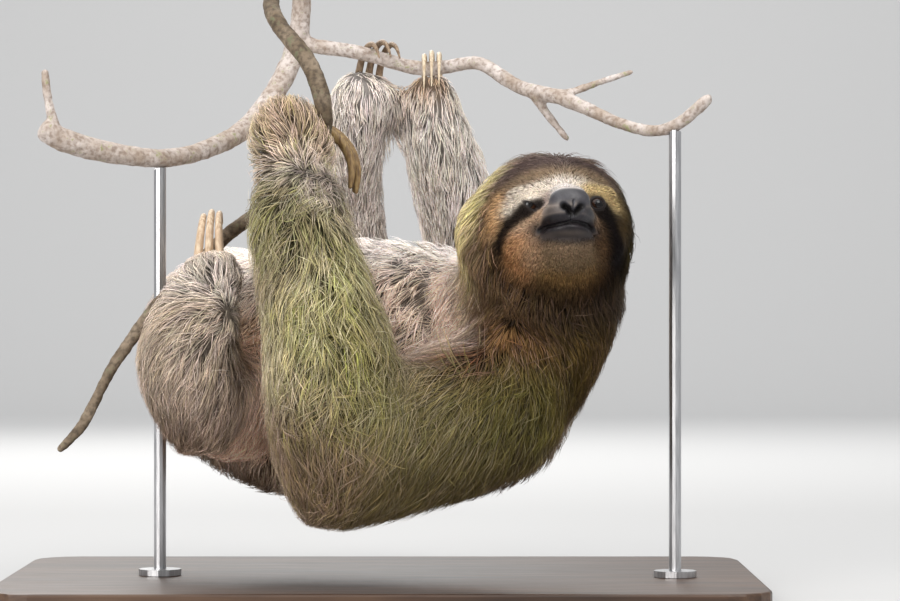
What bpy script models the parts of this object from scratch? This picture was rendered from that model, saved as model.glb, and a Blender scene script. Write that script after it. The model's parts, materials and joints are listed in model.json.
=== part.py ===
"""A three-toed sloth hanging from a cut branch on a display stand, life size, in metres.

X runs to the right, Y away from the viewer, Z up; the origin is on the underside of the base.
Every solid of the animal has the outline of its coat, and touching pieces keep a small gap.
"""

import bmesh
import bpy
from math import cos, pi, radians, sin
from mathutils import Vector

for leftover in list(bpy.data.objects):
    bpy.data.objects.remove(leftover, do_unlink=True)

# Driving dimensions.
gap = 0.0003
body_sides = 16
limb_sides = 11
branch_sides = 8
claw_sides = 6

base_center = (-0.012, 0.030)
base_size = (0.490, 0.310, 0.012)
base_corner = 0.030
rod_radius = 0.004
foot_disc_radius = 0.014
foot_disc_height = 0.004

head_center = Vector((0.0985, -0.0480, 0.2320))
head_size = (0.0525, 0.0560, 0.0575)
head_yaw = radians(6.5)
head_pitch = radians(25)
eye_radius = 0.0058
eye_place = (0.0208, 0.0440, 0.0010)
muzzle_place = (0.0, 0.0460, -0.0140)
muzzle_size = (0.0195, 0.0285, 0.0155)
nose_place = (0.0, 0.0672, -0.0080)
nose_size = (0.0130, 0.0092, 0.0108)

# The head's own axes: to the animal's left, out through the nose, and up through the crown.
head_side = Vector((cos(head_yaw), sin(head_yaw), 0))
head_front = Vector((sin(head_yaw) * cos(head_pitch), -cos(head_yaw) * cos(head_pitch), sin(head_pitch)))
head_up = head_front.cross(head_side)

cutters = {}


# Materials.

def make_material(name, color, roughness, metallic=0.0):
    material = bpy.data.materials.new(name)
    material.use_nodes = True
    shader = material.node_tree.nodes["Principled BSDF"]
    shader.inputs["Base Color"].default_value = (*color, 1)
    shader.inputs["Roughness"].default_value = roughness
    shader.inputs["Metallic"].default_value = metallic
    material.diffuse_color = (*color, 1)
    return material


green_coat = make_material("green coat", (0.19, 0.18, 0.07), 0.85)
brown_coat = make_material("brown coat", (0.16, 0.10, 0.055), 0.85)
pale_coat = make_material("pale coat", (0.42, 0.34, 0.27), 0.85)
tan_coat = make_material("tan coat", (0.27, 0.19, 0.13), 0.85)
nose_leather = make_material("nose leather", (0.015, 0.015, 0.018), 0.40)
eye_gloss = make_material("eye", (0.02, 0.01, 0.006), 0.08)
claw_horn = make_material("claw horn", (0.55, 0.46, 0.32), 0.45)
bark = make_material("bark", (0.30, 0.22, 0.15), 0.80)
stand_wood = make_material("stained wood", (0.07, 0.04, 0.025), 0.45)
stand_steel = make_material("brushed steel", (0.55, 0.55, 0.56), 0.30, 1.0)


# Shape tools.

def add_object(name, mesh_builder, material, smooth_angle=50):
    mesh = bpy.data.meshes.new(name)
    bmesh.ops.triangulate(mesh_builder, faces=mesh_builder.faces)
    mesh_builder.normal_update()
    bmesh.ops.recalc_face_normals(mesh_builder, faces=mesh_builder.faces)
    mesh_builder.to_mesh(mesh)
    mesh_builder.free()
    mesh.shade_smooth()
    mesh.set_sharp_from_angle(angle=radians(smooth_angle))
    mesh.materials.append(material)
    thing = bpy.data.objects.new(name, mesh)
    bpy.context.scene.collection.objects.link(thing)
    return thing


def between(before, start, end, after, t):
    """One number on the smooth curve from start to end, with its neighbours on both sides."""
    slope_in = (end - before) / 2
    slope_out = (after - start) / 2
    return ((2 * t**3 - 3 * t**2 + 1) * start + (t**3 - 2 * t**2 + t) * slope_in
            + (3 * t**2 - 2 * t**3) * end + (t**3 - t**2) * slope_out)


def smooth_stations(stations, steps):
    """Stations on a smooth curve through the given ones, which are (x, y, z, across, through)."""
    filled = [station if len(station) == 5 else (*station, station[3]) for station in stations]
    result = []
    for i in range(len(filled) - 1):
        before = filled[max(i - 1, 0)]
        after = filled[min(i + 2, len(filled) - 1)]
        for step in range(steps):
            t = step / steps
            result.append([between(*values, t) for values in zip(before, filled[i], filled[i + 1], after)])
    result.append(list(filled[-1]))
    return result


def add_rounded_ends(centers, tangents, sizes, start_dome, end_dome):
    """Lead a tube's rings to a rounded tip at each end; a dome of 0 leaves a flat end."""
    rounds = (34, 66) if sizes[-1][0] > 0.005 else (65,)
    if end_dome:
        center, tangent, (across, through) = centers[-1], tangents[-1], sizes[-1]
        reach = end_dome * (across + through) / 2
        for angle in rounds:
            centers.append(center + tangent * reach * sin(radians(angle)))
            tangents.append(tangent)
            sizes.append((across * cos(radians(angle)), through * cos(radians(angle))))
    if start_dome:
        center, tangent, (across, through) = centers[0], tangents[0], sizes[0]
        reach = start_dome * (across + through) / 2
        for angle in rounds:
            centers.insert(0, center - tangent * reach * sin(radians(angle)))
            tangents.insert(0, tangent)
            sizes.insert(0, (across * cos(radians(angle)), through * cos(radians(angle))))


def add_tube(name, stations, material, sides=limb_sides, sideways=(0, 1, 0), domes=(0.75, 0.75), steps=2):
    """A closed tube through the stations, with oval rings that are widest along sideways."""
    points = smooth_stations(stations, steps)
    centers = [Vector(point[:3]) for point in points]
    sizes = [(point[3], point[4]) for point in points]
    tangents = []
    for i in range(len(centers)):
        ahead = centers[min(i + 1, len(centers) - 1)]
        behind = centers[max(i - 1, 0)]
        tangents.append((ahead - behind).normalized())
    add_rounded_ends(centers, tangents, sizes, *domes)

    builder = bmesh.new()
    rings = []
    for center, tangent, (across, through) in zip(centers, tangents, sizes):
        first = Vector(sideways) - tangent * tangent.dot(Vector(sideways))
        first.normalize()
        second = tangent.cross(first)
        ring = []
        for side in range(sides):
            angle = 2 * pi * side / sides
            offset = first * across * cos(angle) + second * through * sin(angle)
            ring.append(builder.verts.new(center + offset))
        rings.append(ring)
    for ring, next_ring in zip(rings, rings[1:]):
        for side in range(sides):
            following = (side + 1) % sides
            builder.faces.new((ring[side], ring[following], next_ring[following], next_ring[side]))
    builder.faces.new(rings[0])
    builder.faces.new(rings[-1])
    return add_object(name, builder, material)


def head_point(side, front, up):
    return head_center + head_side * side + head_front * front + head_up * up


def add_head_ball(name, place, size, material, segments, rings, swell=None):
    """An ellipsoid set along the head's axes; swell gives a factor for each direction."""
    builder = bmesh.new()
    bmesh.ops.create_uvsphere(builder, u_segments=segments, v_segments=rings, radius=1)
    for vertex in builder.verts:
        side, front, up = vertex.co
        factor = swell(Vector((side, front, up))) if swell else 1
        vertex.co = head_point(place[0] + side * size[0] * factor,
                               place[1] + front * size[1] * factor,
                               place[2] + up * size[2] * factor)
    return add_object(name, builder, material)


def make_cutter(piece):
    """A hidden copy of a piece, grown by the gap, that cuts its neighbours back."""
    if piece.name in cutters:
        return cutters[piece.name]
    builder = bmesh.new()
    builder.from_mesh(piece.data)
    builder.normal_update()
    for vertex in builder.verts:
        vertex.co += vertex.normal * gap * 1.2
    cutter = add_object(piece.name + "_cutter", builder, piece.data.materials[0])
    cutter.hide_render = True
    cutter.display_type = "WIRE"
    cutters[piece.name] = cutter
    return cutter


def keep_clear(piece, *neighbours):
    for neighbour in neighbours:
        cut = piece.modifiers.new("clear of " + neighbour.name, "BOOLEAN")
        cut.operation = "DIFFERENCE"
        cut.solver = "EXACT"
        cut.object = make_cutter(neighbour)


def join_into(piece, *limbs):
    for limb in limbs:
        limb.hide_render = True
        limb.display_type = "WIRE"
        union = piece.modifiers.new("join " + limb.name, "BOOLEAN")
        union.operation = "UNION"
        union.solver = "EXACT"
        union.object = limb


# Trunk, neck and tail.

trunk = add_tube("trunk", [
    (-0.1320, 0.090, 0.1750, 0.054, 0.060),
    (-0.1060, 0.080, 0.1600, 0.070, 0.075),
    (-0.0700, 0.066, 0.1505, 0.078, 0.086),
    (0.0127, 0.033, 0.1475, 0.078, 0.083),
    (0.0500, 0.015, 0.1375, 0.072, 0.075),
    (0.0740, 0.002, 0.1400, 0.058, 0.060),
], tan_coat, sides=body_sides, domes=(0.70, 0.55))

neck = add_tube("neck", [
    (0.0765, -0.015, 0.1440, 0.0455),
    (0.0860, -0.034, 0.1700, 0.048, 0.050),
    (0.0910, -0.031, 0.1930, 0.055, 0.043),
    (0.0870, -0.024, 0.2140, 0.054, 0.040),
    (0.0800, -0.020, 0.2300, 0.046, 0.038),
], brown_coat, sides=12, sideways=(1, 0, 0), domes=(0.5, 0.3))

tail = add_tube("tail", [
    (-0.1380, 0.118, 0.1300, 0.023),
    (-0.1450, 0.142, 0.1140, 0.020),
    (-0.1490, 0.157, 0.1040, 0.014),
], tan_coat, sides=10)


# Head: a round furred skull, full at the cheeks and at the animal's right, where its mane hangs.

def head_swell(direction):
    unit = direction.normalized()
    cheeks = 0.04 * max(0, -unit.z) * (1 - unit.z**2) ** 0.5
    flat_face = -0.05 * max(0, unit.y) ** 6
    short_chin = -0.05 * max(0, -unit.z) ** 3
    mane = 0.15 * max(0, -unit.x) ** 3
    factor = 1 + cheeks + flat_face + short_chin + mane
    for sign in (-1, 1):
        socket = Vector((sign * eye_place[0], eye_place[1], eye_place[2])).normalized()
        factor -= 0.05 * max(0, unit.dot(socket)) ** 60
    return factor


head = add_head_ball("head", (0, 0, 0), head_size, brown_coat, 20, 14, head_swell)
muzzle = add_head_ball("muzzle", muzzle_place, muzzle_size, tan_coat, 14, 9)
nose = add_head_ball("nose", nose_place, nose_size, nose_leather, 12, 8)
eyes = []
for label, sign in (("left", 1), ("right", -1)):
    place = (sign * eye_place[0], eye_place[1], eye_place[2])
    eyes.append(add_head_ball("eye_" + label, place, (eye_radius,) * 3, eye_gloss, 12, 8))


# Limbs, each from its root outwards.

left_upper_arm = add_tube("left_upper_arm", [
    (0.0675, -0.040, 0.1300, 0.048),
    (0.0180, -0.068, 0.1120, 0.047),
    (-0.0435, -0.092, 0.0970, 0.0455),
], green_coat)
left_forearm = add_tube("left_forearm", [
    (-0.0400, -0.096, 0.1180, 0.043),
    (-0.0420, -0.095, 0.1560, 0.042),
    (-0.0510, -0.092, 0.1960, 0.037),
    (-0.0580, -0.087, 0.2260, 0.035),
    (-0.0630, -0.079, 0.2600, 0.033),
], green_coat, domes=(0.9, 0.4))
left_hand = add_tube("left_hand", [
    (-0.0645, -0.074, 0.2760, 0.028, 0.029),
    (-0.0690, -0.068, 0.2940, 0.026, 0.026),
    (-0.0715, -0.063, 0.3060, 0.022, 0.022),
], pale_coat, domes=(0.4, 0.7))

left_thigh = add_tube("left_thigh", [
    (-0.0950, 0.042, 0.1420, 0.046),
    (-0.1070, -0.006, 0.1300, 0.039),
    (-0.1160, -0.036, 0.1320, 0.032),
], tan_coat)
left_shin = add_tube("left_shin", [
    (-0.1240, -0.050, 0.1200, 0.027),
    (-0.1310, -0.054, 0.1400, 0.033),
    (-0.1310, -0.056, 0.1620, 0.034),
    (-0.1250, -0.052, 0.1860, 0.029),
    (-0.1210, -0.047, 0.2010, 0.024),
], pale_coat, domes=(0.8, 0.4))
left_foot = add_tube("left_foot", [
    (-0.1175, -0.046, 0.2040, 0.020, 0.022),
    (-0.1180, -0.044, 0.2120, 0.017, 0.019),
], pale_coat, sideways=(1, 0, 0), domes=(0.4, 0.6))

right_upper_arm = add_tube("right_upper_arm", [
    (0.0840, 0.050, 0.1380, 0.042),
    (0.0760, 0.115, 0.1640, 0.037),
    (0.0640, 0.168, 0.1920, 0.034),
], brown_coat)
right_forearm = add_tube("right_forearm", [
    (0.0590, 0.178, 0.2050, 0.032),
    (0.0420, 0.168, 0.2380, 0.029),
    (0.0305, 0.152, 0.2810, 0.0275),
    (0.0225, 0.138, 0.3120, 0.0255),
], pale_coat, domes=(0.8, 0.4))
right_hand = add_tube("right_hand", [
    (0.0202, 0.135, 0.3200, 0.021, 0.023),
    (0.0185, 0.131, 0.3380, 0.0160, 0.019),
], pale_coat, domes=(0.4, 0.5))

right_thigh = add_tube("right_thigh", [
    (-0.0864, 0.100, 0.1586, 0.048),
    (-0.0600, 0.142, 0.1860, 0.040),
    (-0.0400, 0.172, 0.2080, 0.033),
], pale_coat)
right_shin = add_tube("right_shin", [
    (-0.0370, 0.178, 0.2190, 0.028),
    (-0.0355, 0.168, 0.2530, 0.0225),
    (-0.0365, 0.152, 0.2830, 0.0215),
    (-0.0320, 0.138, 0.3160, 0.0245),
], pale_coat, domes=(0.8, 0.4))
right_foot = add_tube("right_foot", [
    (-0.0285, 0.135, 0.3220, 0.0235, 0.025),
    (-0.0250, 0.130, 0.3390, 0.0205, 0.023),
], pale_coat, domes=(0.4, 0.45))


# Claws: three hooks in a row on each hand and foot, curling more and more towards the tip.

claw_rings = 6
claw_sets = {
    "left_hand": {
        "root": (-0.0740, -0.0410, 0.3020), "spread": (0.001, 0.0080, -0.001),
        "heading": (0.97, 0.10, 0.22), "curl": (0.10, -0.22, -0.97),
        "toe_in": 0.0, "length": 0.078, "turn": radians(132), "bend": 1.0, "radius": 0.0042},
    "left_foot": {
        "root": (-0.1210, -0.0470, 0.2130), "spread": (0.0078, 0.0, 0.0008),
        "heading": (0.03, -0.20, 0.98), "curl": (0.0, 0.98, 0.20), "toe_in": 0.09,
        "length": 0.062, "turn": radians(185), "bend": 1.5, "radius": 0.0029},
    "right_hand": {
        "root": (0.0200, 0.1410, 0.3285), "spread": (0.0051, 0.0, 0.0006),
        "heading": (0.0, 0.05, 1.0), "curl": (0.0, -1.0, 0.05), "toe_in": 0.0,
        "length": 0.088, "turn": radians(198), "bend": 1.0, "radius": 0.0029},
    "right_foot": {
        "root": (-0.0240, 0.1440, 0.3400), "spread": (0.0070, 0.001, 0.0),
        "heading": (0.05, 0.05, 1.0), "curl": (0.35, -0.94, 0.05),
        "toe_in": 0.0, "length": 0.068, "turn": radians(165), "bend": 1.0, "radius": 0.0034},
}


def add_claw(name, root, heading, curl, length, turn, bend, radius):
    stations = []
    place = Vector(root)
    for step in range(claw_rings + 1):
        t = step / claw_rings
        size = radius * (1 - 0.78 * t**2.4)
        stations.append((*place, size * 0.85, size))
        angle = turn * t**bend
        place = place + (heading * cos(angle) + curl * sin(angle)) * length / claw_rings
    return add_tube(name, stations, claw_horn, claw_sides, heading.cross(curl), (0, 0.9), steps=1)


claws = {}
for owner, shape in claw_sets.items():
    heading = Vector(shape["heading"]).normalized()
    curl = Vector(shape["curl"])
    curl = (curl - heading * heading.dot(curl)).normalized()
    claws[owner] = []
    for number in (1, 2, 3):
        root = Vector(shape["root"]) + Vector(shape["spread"]) * (number - 2)
        length = shape["length"] * (1 if number == 2 else 0.95)
        lean = (heading + Vector((shape["toe_in"] * (2 - number), 0, 0))).normalized()
        claws[owner].append(add_claw("{}_claw_{}".format(owner, number), root, lean, curl, length,
                                     shape["turn"], shape["bend"], shape["radius"]))


# Perch: a forked branch with its side shoots, and the twig that the near hand and foot hold.

perch_main = add_tube("perch_main", [
    (-0.2316, -0.020, 0.3033, 0.0075),
    (-0.2101, -0.010, 0.2928, 0.0085),
    (-0.1577, 0.020, 0.2844, 0.0065),
    (-0.1244, 0.060, 0.2954, 0.0070),
    (-0.1028, 0.090, 0.3109, 0.0075),
    (-0.0817, 0.115, 0.3430, 0.0080),
    (-0.0724, 0.120, 0.3708, 0.0075),
    (-0.0687, 0.115, 0.3977, 0.0070),
    (-0.0694, 0.100, 0.4304, 0.0065),
], bark, sides=branch_sides, sideways=(0, 0.8, 0.6), domes=(0, 0))
perch_side = add_tube("perch_side_branch", [
    (-0.0740, 0.120, 0.3680, 0.0055),
    (-0.0395, 0.122, 0.3641, 0.0055),
    (-0.0155, 0.122, 0.3586, 0.0052),
    (0.0154, 0.118, 0.3501, 0.0055),
    (0.0461, 0.105, 0.3546, 0.0050),
    (0.0597, 0.100, 0.3502, 0.0052),
    (0.0798, 0.085, 0.3357, 0.0052),
    (0.1060, 0.060, 0.3281, 0.0055),
    (0.1318, 0.040, 0.3150, 0.0045),
    (0.1571, 0.020, 0.3040, 0.0042),
    (0.1791, 0.005, 0.3052, 0.0045),
    (0.2024, -0.005, 0.3255, 0.0045),
], bark, sides=branch_sides, domes=(0, 0))
perch_shoots = [
    add_tube("perch_shoot_left", [
        (-0.2190, -0.014, 0.2960, 0.0045),
        (-0.2260, -0.016, 0.3160, 0.0036),
        (-0.2290, -0.018, 0.3420, 0.0034),
    ], bark, sides=6, domes=(0, 0)),
    add_tube("perch_shoot_down", [
        (0.0880, 0.075, 0.3320, 0.0040),
        (0.0980, 0.072, 0.3170, 0.0034),
        (0.1120, 0.066, 0.2990, 0.0026),
    ], bark, sides=6, domes=(0, 0)),
    add_tube("perch_shoot_right", [
        (0.1080, 0.060, 0.3290, 0.0034),
        (0.1290, 0.064, 0.3370, 0.0028),
        (0.1560, 0.070, 0.3460, 0.0024),
    ], bark, sides=6, domes=(0, 0)),
]
join_into(perch_main, perch_side, *perch_shoots)

perch_twig = add_tube("perch_twig", [
    (-0.0702, 0.090, 0.4240, 0.0050),
    (-0.0800, 0.035, 0.4060, 0.0055),
    (-0.0832, -0.025, 0.3821, 0.0058),
    (-0.0732, -0.050, 0.3632, 0.0060),
    (-0.0589, -0.062, 0.3461, 0.0062),
    (-0.0505, -0.068, 0.3288, 0.0062),
    (-0.0468, -0.066, 0.3099, 0.0062),
    (-0.0504, -0.050, 0.2890, 0.0060),
    (-0.0705, -0.024, 0.2633, 0.0055),
    (-0.0958, -0.020, 0.2454, 0.0052),
    (-0.1131, -0.022, 0.2325, 0.0050),
    (-0.1543, -0.022, 0.1912, 0.0046),
    (-0.1648, -0.025, 0.1771, 0.0048),
    (-0.1856, -0.035, 0.1465, 0.0040),
    (-0.2005, -0.045, 0.1136, 0.0038),
    (-0.2170, -0.050, 0.0960, 0.0030),
], bark, sides=branch_sides, sideways=(0.3, 0.95, 0.1), domes=(0, 0))


# Display stand: a flat base with two rods that reach the underside of the branch.

def add_base():
    builder = bmesh.new()
    half_x = base_size[0] / 2 - base_corner
    half_y = base_size[1] / 2 - base_corner
    outline = []
    for sign_x, sign_y, start in ((1, 1, 0), (-1, 1, 90), (-1, -1, 180), (1, -1, 270)):
        for step in range(5):
            angle = radians(start + 22.5 * step)
            x = base_center[0] + sign_x * half_x + base_corner * cos(angle)
            y = base_center[1] + sign_y * half_y + base_corner * sin(angle)
            outline.append(builder.verts.new((x, y, 0)))
    builder.faces.new(outline)
    raised = bmesh.ops.extrude_face_region(builder, geom=builder.faces[:])
    for item in raised["geom"]:
        if isinstance(item, bmesh.types.BMVert):
            item.co.z = base_size[2]
    base = add_object("stand_base", builder, stand_wood, 30)
    bevel = base.modifiers.new("rounded rim", "BEVEL")
    bevel.width = 0.0015
    bevel.segments = 2
    bevel.limit_method = "ANGLE"
    return base


def add_rod(name, x, y, top):
    """A rod with a low disc at its foot, standing a gap above the base."""
    bottom = base_size[2] + gap
    builder = bmesh.new()
    profile = ((foot_disc_radius, bottom), (foot_disc_radius, bottom + foot_disc_height),
               (rod_radius, bottom + foot_disc_height), (rod_radius, top))
    sides = 12
    rings = []
    for radius, height in profile:
        ring = []
        for side in range(sides):
            angle = 2 * pi * side / sides
            ring.append(builder.verts.new((x + radius * cos(angle), y + radius * sin(angle), height)))
        rings.append(ring)
    for ring, next_ring in zip(rings, rings[1:]):
        for side in range(sides):
            following = (side + 1) % sides
            builder.faces.new((ring[side], ring[following], next_ring[following], next_ring[side]))
    builder.faces.new(rings[0])
    builder.faces.new(rings[-1])
    return add_object(name, builder, stand_steel, 30)


stand_base = add_base()
stand_rod_left = add_rod("stand_rod_left", -0.1577, 0.020, 0.2840)
stand_rod_right = add_rod("stand_rod_right", 0.1791, 0.005, 0.3045)


# Fits: each piece is cut back by a gap from the neighbours that it would run into.

keep_clear(head, *eyes, trunk)
keep_clear(muzzle, head, *eyes)
keep_clear(nose, head, muzzle)
keep_clear(neck, trunk, head)
keep_clear(tail, trunk)
keep_clear(left_forearm, trunk, perch_twig)
keep_clear(left_upper_arm, trunk, neck, left_forearm)
keep_clear(left_hand, left_forearm, perch_twig)
keep_clear(left_thigh, trunk)
keep_clear(left_shin, trunk, left_thigh, left_forearm)
keep_clear(left_foot, left_shin, perch_twig)
keep_clear(right_upper_arm, trunk, neck)
keep_clear(right_forearm, right_upper_arm)
keep_clear(right_hand, right_forearm, perch_side)
keep_clear(right_thigh, trunk)
keep_clear(right_shin, right_thigh, trunk)
keep_clear(right_foot, right_shin, perch_side)
keep_clear(perch_twig, perch_main)
keep_clear(stand_rod_left, perch_main)
keep_clear(stand_rod_right, perch_side)
owners = {"left_hand": left_hand, "left_foot": left_foot, "right_hand": right_hand, "right_foot": right_foot}
for owner, hooks in claws.items():
    for hook in hooks:
        keep_clear(hook, owners[owner])
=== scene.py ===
import json
from math import cos, radians, sin

import bpy
import numpy as np
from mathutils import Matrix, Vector, kdtree
from mathutils.bvhtree import BVHTree

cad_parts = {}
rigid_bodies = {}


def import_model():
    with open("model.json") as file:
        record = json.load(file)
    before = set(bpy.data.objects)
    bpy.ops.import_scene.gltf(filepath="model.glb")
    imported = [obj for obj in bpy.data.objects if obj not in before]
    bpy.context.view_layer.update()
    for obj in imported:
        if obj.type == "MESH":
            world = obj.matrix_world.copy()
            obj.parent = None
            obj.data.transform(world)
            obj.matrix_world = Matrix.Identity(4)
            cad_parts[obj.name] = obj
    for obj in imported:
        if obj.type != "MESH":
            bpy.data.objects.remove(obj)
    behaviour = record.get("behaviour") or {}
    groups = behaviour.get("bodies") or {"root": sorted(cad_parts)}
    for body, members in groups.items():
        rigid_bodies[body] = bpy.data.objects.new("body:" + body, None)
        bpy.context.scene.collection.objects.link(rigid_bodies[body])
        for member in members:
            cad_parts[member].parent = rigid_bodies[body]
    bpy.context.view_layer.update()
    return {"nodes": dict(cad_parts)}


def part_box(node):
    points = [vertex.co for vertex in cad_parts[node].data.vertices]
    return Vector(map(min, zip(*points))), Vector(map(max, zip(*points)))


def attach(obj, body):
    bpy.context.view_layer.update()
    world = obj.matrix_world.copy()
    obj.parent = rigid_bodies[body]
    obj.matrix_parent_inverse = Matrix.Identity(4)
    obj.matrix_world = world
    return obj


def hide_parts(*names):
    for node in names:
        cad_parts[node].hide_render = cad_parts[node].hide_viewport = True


# A hanging three-toed sloth on its perch and display stand, dressed over the plain solids.
# Everything is in metres: X to the right, Y away from the viewer, Z up.

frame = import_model()
nodes = frame["nodes"]

flesh = [name for name in nodes
         if not name.startswith(("perch_", "stand_", "eye_")) and "_claw_" not in name]


# Shader sockets that can be added and multiplied like numbers.

class Wire:
    def __init__(self, board, socket):
        self.board = board
        self.socket = socket
        self.wide = socket.type in ("RGBA", "VECTOR")

    def work(self, operation, other, turned=False):
        pair = (other, self) if turned else (self, other)
        if self.wide or getattr(other, "wide", False) or hasattr(other, "__len__"):
            pair = [side if isinstance(side, Wire) or hasattr(side, "__len__") else (side,) * 3 for side in pair]
            return self.board.add("ShaderNodeVectorMath", {"operation": operation}, {0: pair[0], 1: pair[1]})
        return self.board.add("ShaderNodeMath", {"operation": operation}, {0: pair[0], 1: pair[1]})

    def __add__(self, other):
        return self.work("ADD", other)

    def __radd__(self, other):
        return self.work("ADD", other, True)

    def __sub__(self, other):
        return self.work("SUBTRACT", other)

    def __rsub__(self, other):
        return self.work("SUBTRACT", other, True)

    def __mul__(self, other):
        return self.work("MULTIPLY", other)

    def __rmul__(self, other):
        return self.work("MULTIPLY", other, True)

    def __pow__(self, other):
        return self.work("POWER", other)


class Board:
    def __init__(self, name):
        self.material = bpy.data.materials.new(name)
        self.material.use_nodes = True
        self.tree = self.material.node_tree
        self.shader = self.tree.nodes["Principled BSDF"]

    def feed(self, socket, value):
        if isinstance(value, Wire):
            self.tree.links.new(value.socket, socket)
        elif socket.type == "RGBA" and len(value) == 3:
            socket.default_value = (*value, 1)
        else:
            socket.default_value = value

    # Any node: its settings first, then what goes into its sockets.
    def add(self, kind, settings=None, values=None, output=0):
        node = self.tree.nodes.new(kind)
        for key, value in (settings or {}).items():
            if key == "stops":
                while len(node.color_ramp.elements) < len(value):
                    node.color_ramp.elements.new(1)
                for element, (place, colour) in zip(node.color_ramp.elements, value):
                    element.position = place
                    element.color = (*colour, 1) if hasattr(colour, "__len__") else (colour, colour, colour, 1)
            else:
                setattr(node, key, value)
        for key, value in (values or {}).items():
            self.feed(node.inputs[key], value)
        return Wire(self, node.outputs[output])

    def mix(self, factor, first, second):
        return self.add("ShaderNodeMix", {"data_type": "RGBA"}, {0: factor, 6: first, 7: second}, 2)

    def ramp(self, factor, *stops):
        return self.add("ShaderNodeValToRGB", {"stops": stops}, {0: factor})

    def attribute(self, name, output="Fac"):
        return self.add("ShaderNodeAttribute", {"attribute_name": name}, output=output)

    def place(self):
        return self.add("ShaderNodeTexCoord", output="Object")

    def noise(self, size, detail=3, stretch=None, roughness=0.5):
        place = self.place()
        if stretch:
            place = place * stretch
        return self.add("ShaderNodeTexNoise", {}, {"Vector": place, "Scale": 1 / size, "Detail": detail,
                                                   "Roughness": roughness})

    def bump(self, height, strength, distance):
        return self.add("ShaderNodeBump", {}, {"Height": height, "Strength": strength, "Distance": distance})

    # What varies is a wire; the rest are constants on the shader's own sockets.
    def finish(self, **sockets):
        for name, value in sockets.items():
            self.feed(self.shader.inputs[name.replace("_", " ")], value)
        return self.material


# Mesh tools.

def editing(on):
    bpy.ops.object.mode_set(mode="EDIT" if on else "OBJECT")


def newObject(name, data):
    thing = bpy.data.objects.new(name, data)
    bpy.context.scene.collection.objects.link(thing)
    return thing


def deselectAll():
    if bpy.context.object and bpy.context.object.mode != "OBJECT":
        editing(False)
    for thing in bpy.context.scene.objects:
        thing.select_set(False)


def makeActive(piece):
    deselectAll()
    piece.select_set(True)
    bpy.context.view_layer.objects.active = piece


def applyModifier(piece, kind, **settings):
    makeActive(piece)
    modifier = piece.modifiers.new(kind.lower(), kind)
    for name, value in settings.items():
        setattr(modifier, name, value)
    bpy.ops.object.modifier_apply(modifier=modifier.name)


# A new object with the merged meshes of some solids, each grown a little so that they meet.
def mergedCopy(name, sources, grow=0.0):
    copies = []
    for source in sources:
        copied = newObject(source, nodes[source].data.copy())
        makeActive(copied)
        editing(True)
        bpy.ops.mesh.select_all(action="SELECT")
        bpy.ops.mesh.remove_doubles(threshold=0.00001)
        editing(False)
        if grow:
            applyModifier(copied, "DISPLACE", strength=grow, mid_level=0)
        copies.append(copied)
    deselectAll()
    for copied in copies:
        copied.select_set(True)
    bpy.context.view_layer.objects.active = copies[0]
    bpy.ops.object.join()
    merged = bpy.context.object
    merged.name = name
    merged.data.name = name
    merged.data.materials.clear()
    for layer in list(merged.data.uv_layers):
        merged.data.uv_layers.remove(layer)
    return merged


def readAll(items, name, width, kind=float):
    flat = np.empty(len(items) * width, dtype=kind)
    items.foreach_get(name, flat)
    return flat.reshape(-1, width) if width > 1 else flat


def pointsOf(mesh):
    return readAll(mesh.vertices, "co", 3)


def normalsOf(mesh):
    return readAll(mesh.vertex_normals, "vector", 3)


def edgesOf(mesh):
    return readAll(mesh.edges, "vertices", 2, int)


def trianglesOf(mesh):
    mesh.calc_loop_triangles()
    return readAll(mesh.loop_triangles, "vertices", 3, int)


def setPoints(mesh, points):
    mesh.vertices.foreach_set("co", points.ravel())
    mesh.update()


def lengthOf(vectors):
    return np.linalg.norm(vectors, axis=-1)


def unit(vectors):
    return vectors / np.maximum(lengthOf(vectors)[..., None], 1e-9)


def dot(first, second):
    return np.sum(first * second, axis=-1, keepdims=True)


def ease(low, high, value):
    t = np.clip((value - low) / (high - low), 0, 1)
    return t * t * (3 - 2 * t)


# Each value moves towards the mean of its neighbours along the edges.
def smoothed(values, edges, rounds, strength=0.5):
    flat = values.reshape(len(values), -1).astype(float)
    count = np.maximum(np.bincount(edges.ravel(), minlength=len(flat)), 1)[:, None]
    for turn in range(rounds):
        total = np.zeros_like(flat)
        np.add.at(total, edges[:, 0], flat[edges[:, 1]])
        np.add.at(total, edges[:, 1], flat[edges[:, 0]])
        flat += (total / count - flat) * strength
    return flat.reshape(values.shape)


def setAttribute(mesh, name, values):
    if values.ndim == 1:
        layer = mesh.attributes.new(name, "FLOAT", "POINT")
        layer.data.foreach_set("value", values.astype(np.float32))
    else:
        layer = mesh.attributes.new(name, "FLOAT_COLOR", "POINT")
        layer.data.foreach_set("color", np.c_[values, np.ones(len(values))].astype(np.float32).ravel())


# The head's own axes, found from the two eyes: to the animal's left, out through the nose, up through the crown.

headPose = {"pitch": 25, "eyeForward": 0.0440, "eyeUp": 0.0010, "eyeRadius": 0.0058}


def middleOf(name):
    low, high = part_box(name)
    return (low + high) / 2


eyeMiddle = (middleOf("eye_left") + middleOf("eye_right")) / 2
headSide = (middleOf("eye_left") - middleOf("eye_right")).normalized()
ahead = Vector((headSide.y, -headSide.x, 0))
headFront = ahead * cos(radians(headPose["pitch"])) + Vector((0, 0, sin(radians(headPose["pitch"]))))
headUp = headFront.cross(headSide)
headCenter = eyeMiddle - headFront * headPose["eyeForward"] - headUp * headPose["eyeUp"]
headAxes = np.array([headSide, headFront, headUp])
eyeSpread = (middleOf("eye_left") - eyeMiddle).length
eyeCenters = [np.array((sign * eyeSpread, headPose["eyeForward"], headPose["eyeUp"])) for sign in (-1, 1)]


def toHead(points):
    return (points - np.array(headCenter)) @ headAxes.T


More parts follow.
